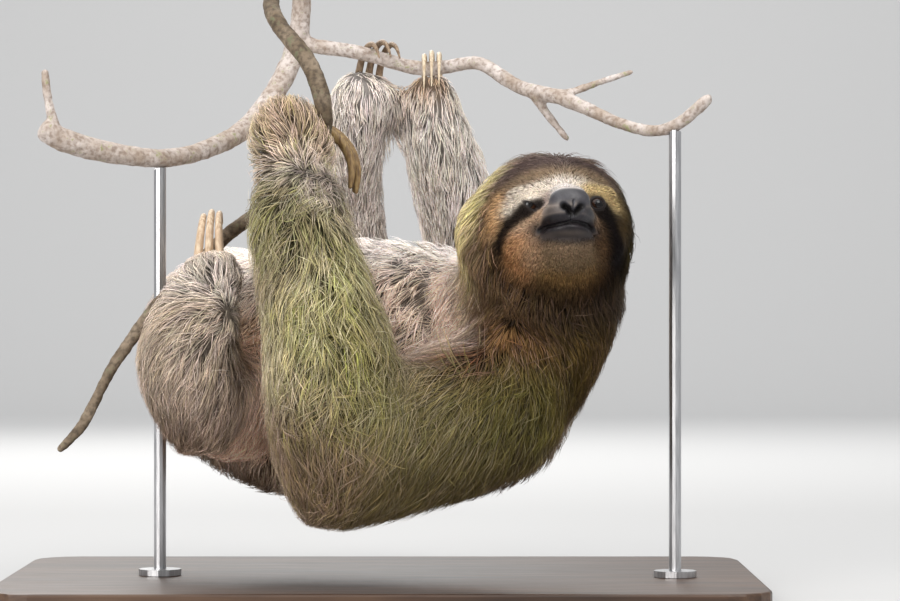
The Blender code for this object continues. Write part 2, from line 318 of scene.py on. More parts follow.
def fromHead(points):
    return np.asarray(points) @ headAxes + np.array(headCenter)


# Skin: the flesh solids as one closed shell, drawn in by the depth of the coat.

skinLook = {
    "grow": 0.0006,
    "voxel": 0.0036,
    "roundShell": 12,
    "roundDepth": 14,
    "roundInset": 4,
    "roundOutward": 6,
    "clawReach": (0.002, 0.014),
    "clawFill": 0.85,
    "whorlReach": (0.004, 0.022),
    "whorlFill": 0.6,
}

# Depth of the coat over each solid, the length of its hair, and the coat piece that grows there.
coatOf = {
    "head": (0.0100, 0.026, "head"),
    "muzzle": (0.0020, 0.006, "face"),
    "nose": (0.0005, 0.004, "face"),
    "neck": (0.0110, 0.034, "neck"),
    "trunk": (0.0095, 0.030, "trunk"),
    "tail": (0.0070, 0.022, "trunk"),
    "left_upper_arm": (0.0120, 0.040, "left_upper_arm"),
    "left_forearm": (0.0120, 0.036, "left_forearm"),
    "left_hand": (0.0080, 0.024, "left_forearm"),
    "left_thigh": (0.0100, 0.032, "left_leg"),
    "left_shin": (0.0095, 0.024, "left_leg"),
    "left_foot": (0.0045, 0.012, "left_leg"),
    "right_upper_arm": (0.0100, 0.032, "right_arm"),
    "right_forearm": (0.0065, 0.020, "right_arm"),
    "right_hand": (0.0040, 0.014, "right_arm"),
    "right_thigh": (0.0090, 0.028, "right_leg"),
    "right_shin": (0.0060, 0.020, "right_leg"),
    "right_foot": (0.0045, 0.014, "right_leg"),
}

skin = mergedCopy("skin", flesh, skinLook["grow"])
applyModifier(skin, "REMESH", mode="VOXEL", voxel_size=skinLook["voxel"], adaptivity=0)


# Only the largest shell is kept, as small gaps between solids can leave pockets inside.
def keepLargestShell(piece):
    mesh = piece.data
    shell = np.arange(len(mesh.vertices))
    edges = edgesOf(mesh)
    while True:
        lowest = shell.copy()
        np.minimum.at(lowest, edges[:, 0], shell[edges[:, 1]])
        np.minimum.at(lowest, edges[:, 1], shell[edges[:, 0]])
        lowest = lowest[lowest]
        if np.array_equal(lowest, shell):
            break
        shell = lowest
    largest = np.bincount(shell).argmax()
    makeActive(piece)
    mesh.vertices.foreach_set("select", shell != largest)
    editing(True)
    bpy.ops.mesh.delete(type="VERT")
    editing(False)


keepLargestShell(skin)


# The solids as one search tree, with the number of the solid that each face belongs to.
def solidTree(names):
    points = []
    faces = []
    owners = []
    for number, name in enumerate(names):
        mesh = nodes[name].data
        first = len(points)
        points += [tuple(vertex.co) for vertex in mesh.vertices]
        faces += [tuple(first + index for index in face.vertices) for face in mesh.polygons]
        owners += [number] * len(mesh.polygons)
    return BVHTree.FromPolygons(points, faces), owners


fleshTree, fleshOwner = solidTree(flesh)
clawTree = solidTree([name for name in nodes if "_claw_" in name])[0]


# The solid nearest to each point of the skin tells its coat.
def ownerOf(points):
    return np.array([fleshOwner[fleshTree.find_nearest(point)[2]] for point in points.tolist()])


def fromTable(column, owners):
    return np.array([coatOf[name][column] for name in flesh])[owners]


def nearClaws(points):
    gaps = np.array([clawTree.find_nearest(point)[3] for point in points.tolist()])
    return 1 - ease(*skinLook["clawReach"], gaps)


# Distance of each point from a line through the given places, and the share of its length reached.
def alongLine(points, places):
    places = [np.array(place, dtype=float) for place in places]
    best = np.full(len(points), 1e9)
    share = np.zeros(len(points))
    for number, (start, end) in enumerate(zip(places, places[1:])):
        span = end - start
        t = np.clip((points - start) @ span / (span @ span), 0, 1)
        distance = lengthOf(points - start - t[:, None] * span)
        closer = distance < best
        best = np.where(closer, distance, best)
        share = np.where(closer, (number + t) / (len(places) - 1), share)
    return best, share


# Whorls: short partings on the arm, the leg and the throat from which the hair runs out on all sides.
whorls = {
    "left_forearm": {"line": ((-0.0600, -0.1060, 0.2750), (-0.0420, -0.0980, 0.2650)), "reach": 0.020},
    "left_leg": {"line": ((-0.1015, -0.0730, 0.1880), (-0.1000, -0.0740, 0.1820)), "reach": 0.026},
    "neck": {"line": ((0.0560, -0.0810, 0.1780), (0.0720, -0.0830, 0.1790)), "reach": 0.030},
}


def nearWhorls(points, low, high):
    near = np.zeros(len(points))
    for whorl in whorls.values():
        near = np.maximum(near, 1 - ease(low, high, alongLine(points, whorl["line"])[0]))
    return near


# Rounds the mesh off, and gives back what thin parts lose by it.
def rounded(points, edges, rounds):
    softer = smoothed(points, edges, rounds)
    return softer + smoothed(points - softer, edges, rounds)


shellEdges = edgesOf(skin.data)
shell = rounded(pointsOf(skin.data), shellEdges, skinLook["roundShell"])
shellTriangles = trianglesOf(skin.data)
setPoints(skin.data, shell)


# How far each point belongs to the face, which is drawn onto forms of its own.
def faceShare(points):
    local = toHead(points)
    front = ease(-0.004, 0.016, local[:, 1] + 0.25 * local[:, 2])
    near = 1 - ease(0.058, 0.072, lengthOf(local - np.array((0, 0.012, 0))))
    throat = ease(-0.064, -0.046, local[:, 2] + 0.15 * local[:, 1])
    return front * near * throat


inset = smoothed(fromTable(0, ownerOf(shell)), shellEdges, skinLook["roundDepth"]) * (1 - faceShare(shell))
inset *= ((1 - skinLook["clawFill"] * nearClaws(shell))
          * (1 - skinLook["whorlFill"] * nearWhorls(shell, *skinLook["whorlReach"])))
outward = unit(smoothed(normalsOf(skin.data), shellEdges, skinLook["roundOutward"]))
setPoints(skin.data, rounded(shell - outward * inset[:, None], shellEdges, skinLook["roundInset"]))
print("skin shell:", len(skin.data.vertices), "points")


# Face: the front of the head is subdivided and drawn onto soft forms set along the head's axes.

# Place, size and how softly each form joins the others.
faceForms = {
    "cranium": ((0, 0, 0), (0.0440, 0.0470, 0.0480), 0.004),
    "faceDisc": ((0, 0.0180, -0.0010), (0.0425, 0.0335, 0.0415), 0.004),
    "leftBrow": ((0.0195, 0.0405, 0.0100), (0.0130, 0.0080, 0.0046), 0.004),
    "rightBrow": ((-0.0195, 0.0405, 0.0090), (0.0130, 0.0080, 0.0046), 0.004),
    "leftCheek": ((0.0215, 0.0330, -0.0190), (0.0150, 0.0125, 0.0130), 0.006),
    "rightCheek": ((-0.0215, 0.0330, -0.0190), (0.0150, 0.0125, 0.0130), 0.006),
    "chin": ((0, 0.0420, -0.0290), (0.0150, 0.0175, 0.0100), 0.006),
    "bridge": ((0, 0.0500, 0), (0.0115, 0.0150, 0.0100), 0.005),
    "upperLip": ((0, 0.0460, -0.0130), (0.0190, 0.0275, 0.0105), 0.006),
    "underNose": ((0, 0.0600, -0.0150), (0.0135, 0.0130, 0.0080), 0.003),
    "lowerLip": ((0, 0.0452, -0.0246), (0.0170, 0.0220, 0.0068), 0.002),
    "nosePad": ((0.0006, 0.0668, -0.0080), (0.0128, 0.0090, 0.0102), 0.003),
}

# How each eye opens: which way the opening faces, its half width and half height, and its slope.
eyeLook = {
    "radius": headPose["eyeRadius"],
    "lidProud": 0.0006,
    "soft": 0.003,
    "behind": 0.0016,
    "rim": 0.0006,
    "gaze": (0.22, 0.92, -0.22),
    "left": {"faces": (0.04, 0.97, -0.16), "opening": (0.0040, 0.0034), "slope": -14},
    "right": {"faces": (0.16, 0.87, -0.54), "opening": (0.0044, 0.0015), "slope": 24},
}


def ellipsoidDistance(points, center, size):
    scaled = (points - np.array(center)) / np.array(size)
    inner = lengthOf(scaled)
    outer = lengthOf(scaled / np.array(size))
    return inner * (inner - 1) / np.maximum(outer, 1e-6)


def joined(total, distance, soft):
    meet = np.maximum(soft - np.abs(total - distance), 0) / soft
    return np.minimum(total, distance) - meet * meet * soft / 4


def faceDistance(points):
    total = np.full(len(points), 1.0)
    for center, size, soft in faceForms.values():
        total = joined(total, ellipsoidDistance(points, center, size), soft)
    for center in eyeCenters:
        distance = lengthOf(points - center) - eyeLook["radius"] - eyeLook["lidProud"]
        total = joined(total, distance, eyeLook["soft"])
    return total


def faceSlope(points, step=0.0002):
    slopes = []
    for axis in range(3):
        shift = np.zeros(3)
        shift[axis] = step
        slopes.append(faceDistance(points + shift) - faceDistance(points - shift))
    return unit(np.stack(slopes, axis=1))


# Splits the skin's faces near the given places of the head, to model finer forms there.
def refine(places):
    local = toHead(pointsOf(skin.data))
    near = np.zeros(len(local), dtype=bool)
    for place, reach in places:
        near |= lengthOf((local - np.array(place)) / np.array(reach)) < 1
    makeActive(skin)
    mesh = skin.data
    for element in (mesh.vertices, mesh.edges, mesh.polygons):
        element.foreach_set("select", np.zeros(len(element), dtype=bool))
    corners = readAll(mesh.loops, "vertex_index", 1, int)
    chosen = np.logical_and.reduceat(near[corners], readAll(mesh.polygons, "loop_start", 1, int))
    mesh.polygons.foreach_set("select", chosen)
    editing(True)
    bpy.ops.mesh.select_mode(type="FACE")
    bpy.ops.mesh.subdivide(number_cuts=1)
    editing(False)


# Draws the front of the head onto the forms in small steps, evening out the mesh on the way.
def drawOntoFace(steps):
    points = pointsOf(skin.data)
    edges = edgesOf(skin.data)
    share = faceShare(points)
    moving = share > 0
    goal = points.copy()
    for step in range(steps):
        local = toHead(goal[moving])
        slope = faceSlope(local)
        even = toHead(smoothed(goal, edges, 1, 0.6)[moving]) - local
        even -= slope * dot(even, slope)
        goal[moving] = fromHead(local + even - slope * np.clip(faceDistance(local), -0.002, 0.002)[:, None])
    setPoints(skin.data, points + (goal - points) * share[:, None])


drawOntoFace(16)
refine([((0, 0.040, -0.004), (0.048, 0.050, 0.050))])
drawOntoFace(10)
refine([((0, 0.050, -0.006), (0.037, 0.040, 0.030))])
drawOntoFace(8)
eyeZones = [(center + (0, 0.004, 0), (0.0100, 0.010, 0.0085)) for center in eyeCenters]
refine([((0, 0.066, -0.015), (0.020, 0.022, 0.017))] + eyeZones)
drawOntoFace(6)
refine(eyeZones + [((0, 0.072, -0.016), (0.011, 0.012, 0.008))])
drawOntoFace(4)
print("face:", len(skin.data.vertices), "points")


# The finer features are laid out as they look from the front and a little below.
frontWay = np.array((-0.144, 0.889, -0.435))
mouthLook = {
    "line": ((-0.0162, 0.0472, -0.0180), (-0.0136, 0.0521, -0.0184), (-0.0076, 0.0640, -0.0222),
             (0, 0.0673, -0.0218), (0.0063, 0.0655, -0.0214), (0.0139, 0.0528, -0.0174),
             (0.0172, 0.0468, -0.0174)),
    "width": 0.0007,
    "depth": 0.0013,
}
noseLook = {
    "nostrils": (((-0.0040, 0.0717, -0.0133), (-0.0014, 0.0721, -0.0155), (-0.0003, 0.0712, -0.0180)),
                 ((0.0071, 0.0707, -0.0133), (0.0052, 0.0714, -0.0157), (0.0036, 0.0710, -0.0180))),
    "width": 0.0018,
    "depth": 0.0048,
    "groove": ((0.0017, 0.0755, -0.0115), (0.0017, 0.0722, -0.0173), (0.0006, 0.0680, -0.0210)),
    "grooveWidth": 0.0007,
    "grooveDepth": 0.0007,
}


def fromFront(points):
    points = np.array(points, dtype=float)
    return points - (points @ frontWay)[:, None] * frontWay


def drawnLine(points, places):
    distance, share = alongLine(fromFront(points), fromFront(places))
    return np.where(points[:, 1] > 0.040, distance, 1.0), share


def carve(local, slopes, places, width, depth):
    distance, share = drawnLine(local, places)
    return local - slopes * (depth * np.exp(-(distance / width) ** 2))[:, None]


local = toHead(pointsOf(skin.data))
slopes = faceSlope(local)
local = carve(local, slopes, mouthLook["line"], mouthLook["width"], mouthLook["depth"])
local = carve(local, slopes, noseLook["groove"], noseLook["grooveWidth"], noseLook["grooveDepth"])
for nostril in noseLook["nostrils"]:
    local = carve(local, slopes, nostril, noseLook["width"], noseLook["depth"])

# Each eye looks out through an almond opening, whose rim is the lids.
openness = np.zeros(len(local))
lidRim = np.zeros(len(local))
for label, center in (("left", eyeCenters[1]), ("right", eyeCenters[0])):
    look = eyeLook[label]
    gaze = unit(np.array(look["faces"]))
    across = unit(np.cross(gaze, (0, 0, 1.0))) * -1
    upward = np.cross(gaze, across)
    upward = upward if upward[2] > 0 else -upward
    slope = radians(look["slope"])
    offset = local - center
    sideways = offset @ across * cos(slope) + offset @ upward * sin(slope)
    height = offset @ upward * cos(slope) - offset @ across * sin(slope)
    facing = offset @ gaze
    ring = np.sqrt((sideways / look["opening"][0]) ** 2 + (height / look["opening"][1]) ** 2)
    near = (facing > 0) & (lengthOf(offset) < eyeLook["radius"] * 1.6)
    rimSpan = eyeLook["rim"] / look["opening"][1]
    inside = np.where(near, 1 - ease(1 - rimSpan * 0.4, 1 + rimSpan * 0.6, ring), 0)
    goal = center + unit(offset) * (eyeLook["radius"] - eyeLook["behind"])
    local += (goal - local) * inside[:, None]
    openness = np.maximum(openness, inside)
    lidRim = np.maximum(lidRim, np.where(near, 1 - ease(1.05, 1.75, ring), 0))
setPoints(skin.data, fromHead(local))
makeActive(skin)
bpy.ops.object.shade_smooth()

# Bare leather: the nose, the lips and the rims of the lids. Down the sides of the muzzle it fades into hair.
# Each patch has its middle, its size, and where its edge begins and ends as shares of that size.
leatherLook = {
    "nose": (*faceForms["nosePad"][:2], 0.98, 1.14),
    "muzzle": ((-0.0004, 0.0575, -0.0200), (0.0178, 0.0160, 0.0092), 0.86, 1.22),
    "upperLip": ((0.0006, 0.0600, -0.0140), (0.0160, 0.0150, 0.0078), 0.88, 1.15),
    "noseHairline": (-0.0035, 0.0005),
    "noseSheen": (-0.0190, -0.0090),
    "lipWidth": (0.0022, 0.0030),
    "lipEdge": (0.60, 1.30),
}


def within(center, size, low, high):
    return 1 - ease(low, high, lengthOf((local - np.array(center)) / np.array(size)))


noseBare = within(*leatherLook["nose"]) * (1 - ease(*leatherLook["noseHairline"], local[:, 2]))
mouthDistance, mouthShare = drawnLine(local, mouthLook["line"])
narrow, wider = leatherLook["lipWidth"]
lipWidth = narrow + wider * np.sin(np.pi * np.clip(mouthShare, 0, 1))
lipBare = 1 - ease(*leatherLook["lipEdge"], mouthDistance / lipWidth)
upperBare = within(*leatherLook["upperLip"])
bare = np.maximum.reduce([noseBare, lipBare, within(*leatherLook["muzzle"]), upperBare, lidRim])
lids = lidRim * (1 - noseBare)
# The top of the nose pad, and half the upper lip, get a clear coat and a lighter bluish leather: the coat is real
# gloss, the lighter colour a painted highlight.
pad = np.maximum(noseBare * ease(*leatherLook["noseSheen"], local[:, 2]), 0.5 * upperBare)
# The mouth's line and the nostrils are made near black: painted shade in these hollows.
hollow = 0.95 * np.exp(-(mouthDistance / 0.0007) ** 2)
for nostril in noseLook["nostrils"]:
    distance, share = drawnLine(local, nostril)
    hollow = np.maximum(hollow, np.exp(-(distance / (noseLook["width"] * 1.25)) ** 4))
print("skin:", len(skin.data.polygons), "faces")


# Markings: soft patches of colour that skin and coat share. Most are the coat's own colour; some are painted shade
# or painted light, as said at each. Each has its reach, its strength, its colour in thousandths, and the places of
# its line. Those of the face are in tenths of a millimetre along the head's axes.

faceMarks = {
    "crown": (120, 2.4, (105, 70, 62), (-320, 280, 260), (-180, 340, 340), (0, 360, 370), (200, 320, 350)),
    "crownBack": (300, 1, (120, 90, 75), (0, -200, 500), (0, -500, 200)),
    "forehead": (50, 1.1, (370, 260, 150), (-330, 335, 160), (-192, 417, 215), (-84, 443, 234), (27, 447, 240),
                 (143, 417, 249), (247, 380, 200)),
    "paleBrow": (40, 3, (860, 760, 640), (-348, 371, 10), (-319, 400, 45), (-270, 455, 57), (-211, 491, 65),
                 (-139, 493, 90), (-66, 497, 125), (15, 490, 150), (94, 484, 138)),
    "leftBrow": (34, 2.6, (720, 540, 270), (138, 491, 105), (185, 488, 90), (250, 468, 80), (324, 396, 75),
                 (348, 370, 30)),
    "noseRoof": (60, 5, (800, 730, 680), (0, 520, 110), (0, 600, 70), (0, 660, 20)),
    "bridge": (24, 3, (560, 450, 400), (-125, 520, 50), (-128, 560, -60)),
    "leftBridge": (20, 3, (400, 270, 180), (150, 500, 30), (155, 520, -90), (190, 480, -150)),
    "rightEye": (26, 16, (12, 7, 6), (-160, 495, -10), (-245, 464, -40)),
    "rightStripe": (34, 14, (12, 7, 5), (-245, 464, -44), (-303, 414, -80), (-345, 372, -125), (-362, 325, -172),
                    (-366, 230, -205)),
    "leftEye": (34, 14, (12, 6, 4), (205, 490, 20), (242, 471, -38)),
    "leftStripe": (34, 18, (6, 3, 2), (255, 455, -45), (281, 429, -75), (303, 425, -136), (312, 420, -221),
                   (322, 358, -277), (345, 149, -263)),
    "leftJaw": (60, 4, (14, 8, 4), (345, 149, -263), (324, 111, -340), (241, 93, -410)),
    "rightTan": (28, 2.2, (560, 380, 250), (-165, 560, -120), (-174, 502, -95), (-247, 452, -120), (-303, 432, -180)),
    "mouthSide": (40, 1.2, (330, 220, 150), (-221, 461, -190), (-200, 480, -250)),
    "rightCheek": (60, 1.4, (600, 310, 140), (-300, 410, -240), (-325, 340, -270), (-311, 243, -292),
                   (-250, 186, -360)),
    "cheekMiddle": (60, 1.2, (470, 295, 175), (-253, 430, -262), (-200, 380, -340)),
    "leftCheek": (50, 1.2, (110, 58, 26), (204, 469, -150), (232, 448, -235), (239, 367, -317)),
    "leftCheekLow": (70, 1.2, (70, 32, 12), (241, 227, -353), (180, 160, -430)),
    "lipEdge": (26, 3, (50, 42, 42), (-185, 468, -190), (-160, 520, -240), (-71, 582, -290), (20, 592, -305),
                (140, 560, -265), (192, 470, -195)),
    "chin": (50, 1.4, (280, 190, 115), (-97, 521, -340), (6, 552, -355), (126, 492, -325)),
    "chinMiddle": (70, 1.2, (300, 205, 115), (-85, 411, -373), (24, 409, -389), (143, 361, -348)),
    "lowerChin": (70, 1.2, (270, 155, 55), (-69, 270, -409), (43, 255, -419), (154, 262, -387)),
    "jaw": (70, 2.2, (50, 28, 12), (-327, 92, -342), (-209, 130, -412), (-56, 148, -454), (105, 134, -448)),
    "rightTemple": (60, 2.2, (740, 460, 230), (-380, 300, 100), (-392, 295, 40), (-405, 240, -60)),
    "rightSide": (50, 1, (230, 140, 75), (-418, 200, 120), (-428, 134, -65), (-410, 140, -280)),
    "leftTemple": (55, 1.4, (80, 48, 14), (379, 313, 64), (399, 292, -43), (397, 346, -132)),
    "earTuft": (30, 3, (60, 32, 20), (-436, 68, -33), (-434, 49, -150)),
    "mane": (75, 1.6, (560, 480, 240), (-360, 80, 280), (-440, -40, 60), (-440, -120, -200)),
    "maneLow": (60, 1.3, (150, 90, 50), (-446, -46, -210), (-412, -35, -339)),
    # Painted shade: a broad dark wash over the animal's left side of the head, the side turned away from the light.
    "leftSideShade": (110, 1.6, (20, 14, 2), (440, 120, 40), (440, 60, -300)),
}

# Those of the body are in millimetres.
bodyMarks = {
    # The throat band is partly the throat's own dark brown and partly painted shade where the head hangs over the
    # chest.
    "throat": (13, 9, (8, 4, 1), (68, -70, 194), (98, -72, 186), (128, -60, 194)),
    "neckLeft": (12, 1, (290, 165, 95), (36, -50, 200), (50, -62, 188)),
    "chestGold": (14, 1.3, (260, 125, 40), (60, -80, 170), (85, -85, 160)),
    "chestRed": (12, 2, (110, 24, 10), (45, -90, 150), (26, -80, 158)),
    "chestRight": (22, 1, (80, 46, 6), (120, -62, 150), (112, -55, 120)),
    "chestShade": (14, 1.2, (60, 45, 14), (77, -85, 150), (70, -85, 118)),
    "shoulder": (22, 1, (120, 105, 24), (60, -90, 120), (100, -70, 120)),
    "upperArm": (24, 1, (135, 115, 45), (40, -100, 110), (0, -120, 120)),
    "armUnder": (16, 1, (130, 97, 33), (60, -70, 80), (-20, -110, 70)),
    "elbow": (18, 1, (180, 120, 70), (-60, -115, 90), (-40, -120, 80)),
    "forearmLow": (22, 1, (300, 262, 112), (-30, -130, 165), (-20, -125, 130)),
    "forearmPale": (18, 1, (330, 270, 180), (-72, -118, 190), (-70, -120, 140)),
    "forearmUp": (20, 1, (250, 220, 110), (-78, -108, 242), (-47, -122, 215)),
    "forearmMiddle": (16, 1.5, (500, 460, 240), (-47, -120, 195), (-60, -120, 160)),
    "wrist": (14, 1.3, (620, 540, 460), (-47, -103, 268), (-62, -100, 280)),
    "wristParting": (8, 3, (100, 70, 50), (-66, -106, 277), (-42, -98, 265)),
    "hand": (14, 1, (420, 310, 215), (-71, -85, 306), (-60, -85, 292)),
    "nearArmBack": (22, 1, (160, 130, 70), (-60, -50, 240), (-40, -60, 140)),
    # trunkSide, belly and flankLow are the trunk's pale coat, made lighter still where it lies in shade: partly its
    # own colour, partly painted light.
    "trunkSide": (28, 1, (780, 630, 520), (10, -36, 180), (-30, -20, 160)),
    "belly": (24, 1.8, (780, 710, 660), (40, 20, 215), (-60, 40, 230), (-110, 80, 220)),
    "rump": (30, 1, (490, 400, 350), (-150, 60, 170), (-170, 100, 150)),
    "flankLow": (24, 1, (700, 500, 370), (-120, 10, 80), (-86, -20, 100), (-20, -40, 90)),
    "back": (26, 1, (190, 140, 95), (60, 20, 70), (-50, 60, 65), (-130, 100, 110)),
    "backMid": (10, 1.3, (70, 45, 30), (0, 45, 62), (-80, 75, 70)),
    "farSide": (30, 1, (330, 255, 190), (40, 110, 150), (-80, 150, 150)),
    # innerThigh is the pale coat made lighter where the inner thigh lies in deep shade: partly its own colour, partly
    # painted light.
    "innerThigh": (14, 1.3, (760, 540, 390), (-94, -30, 110), (-92, -10, 150)),
    "nearThigh": (18, 1, (240, 165, 115), (-124, -60, 140), (-134, -55, 110)),
    "nearShin": (20, 1, (500, 410, 330), (-123, -88, 180), (-130, -80, 130)),
    "shinLeft": (14, 1, (480, 390, 300), (-155, -75, 160), (-160, -70, 130)),
    "nearFoot": (12, 1, (640, 560, 500), (-118, -60, 205), (-140, -55, 205)),
    # farElbow, farWrist, farShin and farFoot are the far limbs' pale coat, made lighter where the near arm and trunk
    # shade them: partly their own colour, partly painted light.
    "farElbow": (28, 1, (740, 680, 640), (60, 175, 200), (40, 140, 240)),
    "farWrist": (18, 1, (740, 680, 620), (20, 120, 290), (24, 110, 315)),
    "farHand": (8, 1.5, (600, 420, 280), (22, 118, 335), (10, 125, 338)),
    "farShin": (24, 1, (620, 560, 520), (-22, 126, 290), (-36, 160, 230)),
    "farFoot": (10, 1.3, (740, 670, 620), (-24, 115, 330), (-36, 120, 335)),
}


def paint(points, marks, scale):
    total = np.full((len(points), 3), 1e-9)
    weight = np.full(len(points), 1e-9)
    for reach, strength, color, *line in marks.values():
        distance, share = alongLine(points, np.array(line) / scale)
        reach = reach / scale
        pull = strength * (np.exp(-(distance / reach) ** 2) + 0.02 * np.exp(-distance / (reach * 2.5)))
        total += pull[:, None] * (np.array(color) / 1000)
        weight += pull
    return total / weight[:, None]


skinPoints = pointsOf(skin.data)
skinEdges = edgesOf(skin.data)
skinOwner = ownerOf(skinPoints)
skinLocal = toHead(skinPoints)


def nodeShare(names, rounds=8):
    chosen = [flesh.index(name) for name in names]
    return smoothed(np.isin(skinOwner, chosen).astype(float), skinEdges, rounds)


headShare = nodeShare(("head", "muzzle", "nose"), 14)
bodyTint = paint(skinPoints, bodyMarks, 1000)
faceTint = paint(skinLocal, faceMarks, 10000)
tint = bodyTint + (faceTint - bodyTint) * headShare[:, None]
for name, values in {"tint": tint, "bare": bare, "hollow": hollow, "lids": lids, "pad": pad}.items():
    setAttribute(skin.data, name, values)


# Lie of the coat: where the hair points, as a comb would lay it. A whorl sends it out on all sides.
# Each comb has its reach and its place in millimetres, and its heading.

bodyCombs = {
    "trunk": (
        (50, (10, -35, 180), (-0.25, -0.2, -1)), (30, (-60, 20, 225), (-1, -0.25, -0.3)),
        (30, (30, 25, 220), (-1, -0.3, -0.3)), (50, (-86, -27, 100), (-0.3, -0.1, -1)),
        (40, (0, 45, 62), (-0.9, 0.3, -0.7)), (60, (-20, 130, 150), (-0.3, 0, -1)),
        (50, (-150, 100, 150), (-0.5, 0.6, -0.9)),
    ),
    "neck": (
        (30, (120, -60, 160), (0.3, 0, -1)), (20, (45, -60, 195), (-0.9, 0, -0.6)), (40, (90, 10, 190), (0, 0.3, -1)),
    ),
    "left_upper_arm": (
        (30, (70, -95, 130), (-0.6, 0, -0.8)), (30, (20, -115, 120), (-0.65, -0.1, -0.75)),
        (30, (0, -114, 78), (-0.35, 0, -1)), (40, (60, -60, 80), (-0.4, 0.1, -1)),
    ),
    "left_forearm": (
        (22, (-70.6, -85.3, 311.2), (-0.5, 0.3, 0.85)), (22, (-60, -50, 300), (0.2, 0.5, 0.85)),
        (30, (-60, -110, 220), (-0.08, -0.1, -1)), (30, (-40, -130, 160), (0.1, -0.1, -1)),
        (30, (-70, -120, 150), (-0.12, -0.1, -1)), (50, (-45, -60, 200), (0, 0.1, -1)),
        (30, (-50, -110, 85), (0.05, -0.3, -1)),
    ),
    "left_leg": (
        (14, (-118, -55, 210), (-0.1, 0, 1)), (30, (-130, -80, 130), (-0.35, -0.1, -1)),
        (20, (-155, -80, 160), (-0.6, 0.2, -0.7)), (40, (-100, 10, 120), (-0.3, 0, -1)),
    ),
    "right_arm": (
        (80, (20, 125, 280), (0.05, 0, -1)), (50, (76, 115, 150), (0.1, 0.3, -1)),
    ),
    "right_leg": (
        (80, (-22, 126, 290), (0, 0, -1)), (50, (-70, 145, 170), (-0.2, 0.4, -1)),
    ),
}


def combed(points, combs, whorl=None):
    total = np.zeros((len(points), 3))
    for reach, place, heading in combs:
        distance = lengthOf(points - np.array(place) / 1000) / (reach / 1000)
        pull = np.exp(-distance ** 2) + 0.03 / (1 + distance ** 2)
        total += pull[:, None] * unit(np.array(heading))
    if whorl:
        start, end = (np.array(place) for place in whorl["line"])
        distance, share = alongLine(points, whorl["line"])
        away = unit(points - start - share[:, None] * (end - start))
        total += np.exp(-(distance / whorl["reach"]) ** 2)[:, None] * away * 1.5
    return unit(total)


makeActive(skin)
skinNormals = unit(smoothed(normalsOf(skin.data), skinEdges, 3))
skinPiece = fromTable(2, skinOwner)
flow = np.zeros((len(skinPoints), 3))
for piece, combs in bodyCombs.items():
    chosen = skinPiece == piece
    flow[chosen] = combed(skinPoints[chosen], combs, whorls.get(piece))

# On the head the hair runs away from the nose, and hangs at the sides.
headLook = {
    "noseTip": (0, 0.080, -0.010),
    "hang": 0.55,
    "parting": 1.6,
    "maneHang": 2.5,
    "sides": ((0.026, 0.044), (0.018, 0.036)),
    "mane": ((0.028, 0.042), (0.008, 0.024)),
    "crown": (0.014, 0.034),
    "partingAt": 0.003,
    "partingWidth": 0.010,
    "bare": 0.60,
    "hairFrom": (0, 0.062, -0.010),
    "hairSteps": (0.012, 0.030, 0.052),
    "faceReach": (0.046, 0.066),
    "faceHair": (0.0014, 0.0036, 0.0100),
    "faceDepth": (0.0006, 0.0014, 0.0034),
}
onHead = np.isin(skinPiece, ("head", "face"))
away = unit(skinLocal - np.array(headLook["noseTip"]))
wide, behind = headLook["sides"]
sideways = ease(*wide, np.abs(skinLocal[:, 0])) * (1 - ease(*behind, skinLocal[:, 1]))
wide, behind = headLook["mane"]
inMane = ease(*wide, -skinLocal[:, 0]) * (1 - ease(*behind, skinLocal[:, 1]))
fromParting = (skinLocal[:, 0] - headLook["partingAt"]) / headLook["partingWidth"]
away[:, 0] += headLook["parting"] * ease(*headLook["crown"], skinLocal[:, 2]) * np.tanh(fromParting)
away = away @ headAxes
away[:, 2] -= sideways * headLook["hang"] + inMane * headLook["maneHang"]
flow[onHead] = away[onHead]
flow = smoothed(flow, skinEdges, 6)
flow -= skinNormals * dot(flow, skinNormals)
flow = unit(flow)

# The coat fills the room between the skin and the shell that the solids gave. It is shallower and shorter by
# the claws and on the whorls, and short on the belly.
hairLook = {
    "clawShallow": 0.80,
    "clawShort": 0.65,
    "whorlReach": (0.004, 0.030),
    "whorlShallow": 0.5,
    "whorlShort": 0.60,
    "room": (0.6, 1.9),
    "maneLong": 0.35,
    "bellyShort": 0.45,
    "eyeReach": (0.0070, 0.0130),
    "handCalm": 0.5,
    "whorlWild": (2.5, 0.001, 0.009),
    "whorlThick": (2.5, 0.003, 0.020),
}
shellTree = BVHTree.FromPolygons(shell.tolist(), shellTriangles.tolist())
byClaws = nearClaws(skinPoints)
byWhorl = nearWhorls(skinPoints, *hairLook["whorlReach"])
nominal = smoothed(fromTable(0, skinOwner), skinEdges, 12)
nominal *= (1 - hairLook["clawShallow"] * byClaws) * (1 - hairLook["whorlShallow"] * byWhorl)
low, high = hairLook["room"]
room = []
for point, way, most in zip(skinPoints.tolist(), skinNormals.tolist(), (nominal * high).tolist()):
    hit = shellTree.ray_cast(point, way, most)
    room.append(hit[3] if hit[3] is not None else most)
hairDepth = smoothed(np.clip(np.array(room), nominal * low, nominal * high), skinEdges, 10)
hairLength = smoothed(fromTable(1, skinOwner), skinEdges, 12)
hairLength *= ((1 - hairLook["clawShort"] * byClaws) * (1 - hairLook["whorlShort"] * byWhorl)
               * (1 + hairLook["maneLong"] * inMane))
fromNose = lengthOf(skinLocal - np.array(headLook["hairFrom"]))
faceLength = np.interp(fromNose, headLook["hairSteps"], headLook["faceHair"])
faceDepth = np.interp(fromNose, headLook["hairSteps"], headLook["faceDepth"])
onFace = 1 - ease(*headLook["faceReach"], fromNose)
onFace *= ease(0.004, 0.024, skinLocal[:, 1]) * headShare
hairLength += (faceLength - hairLength) * onFace
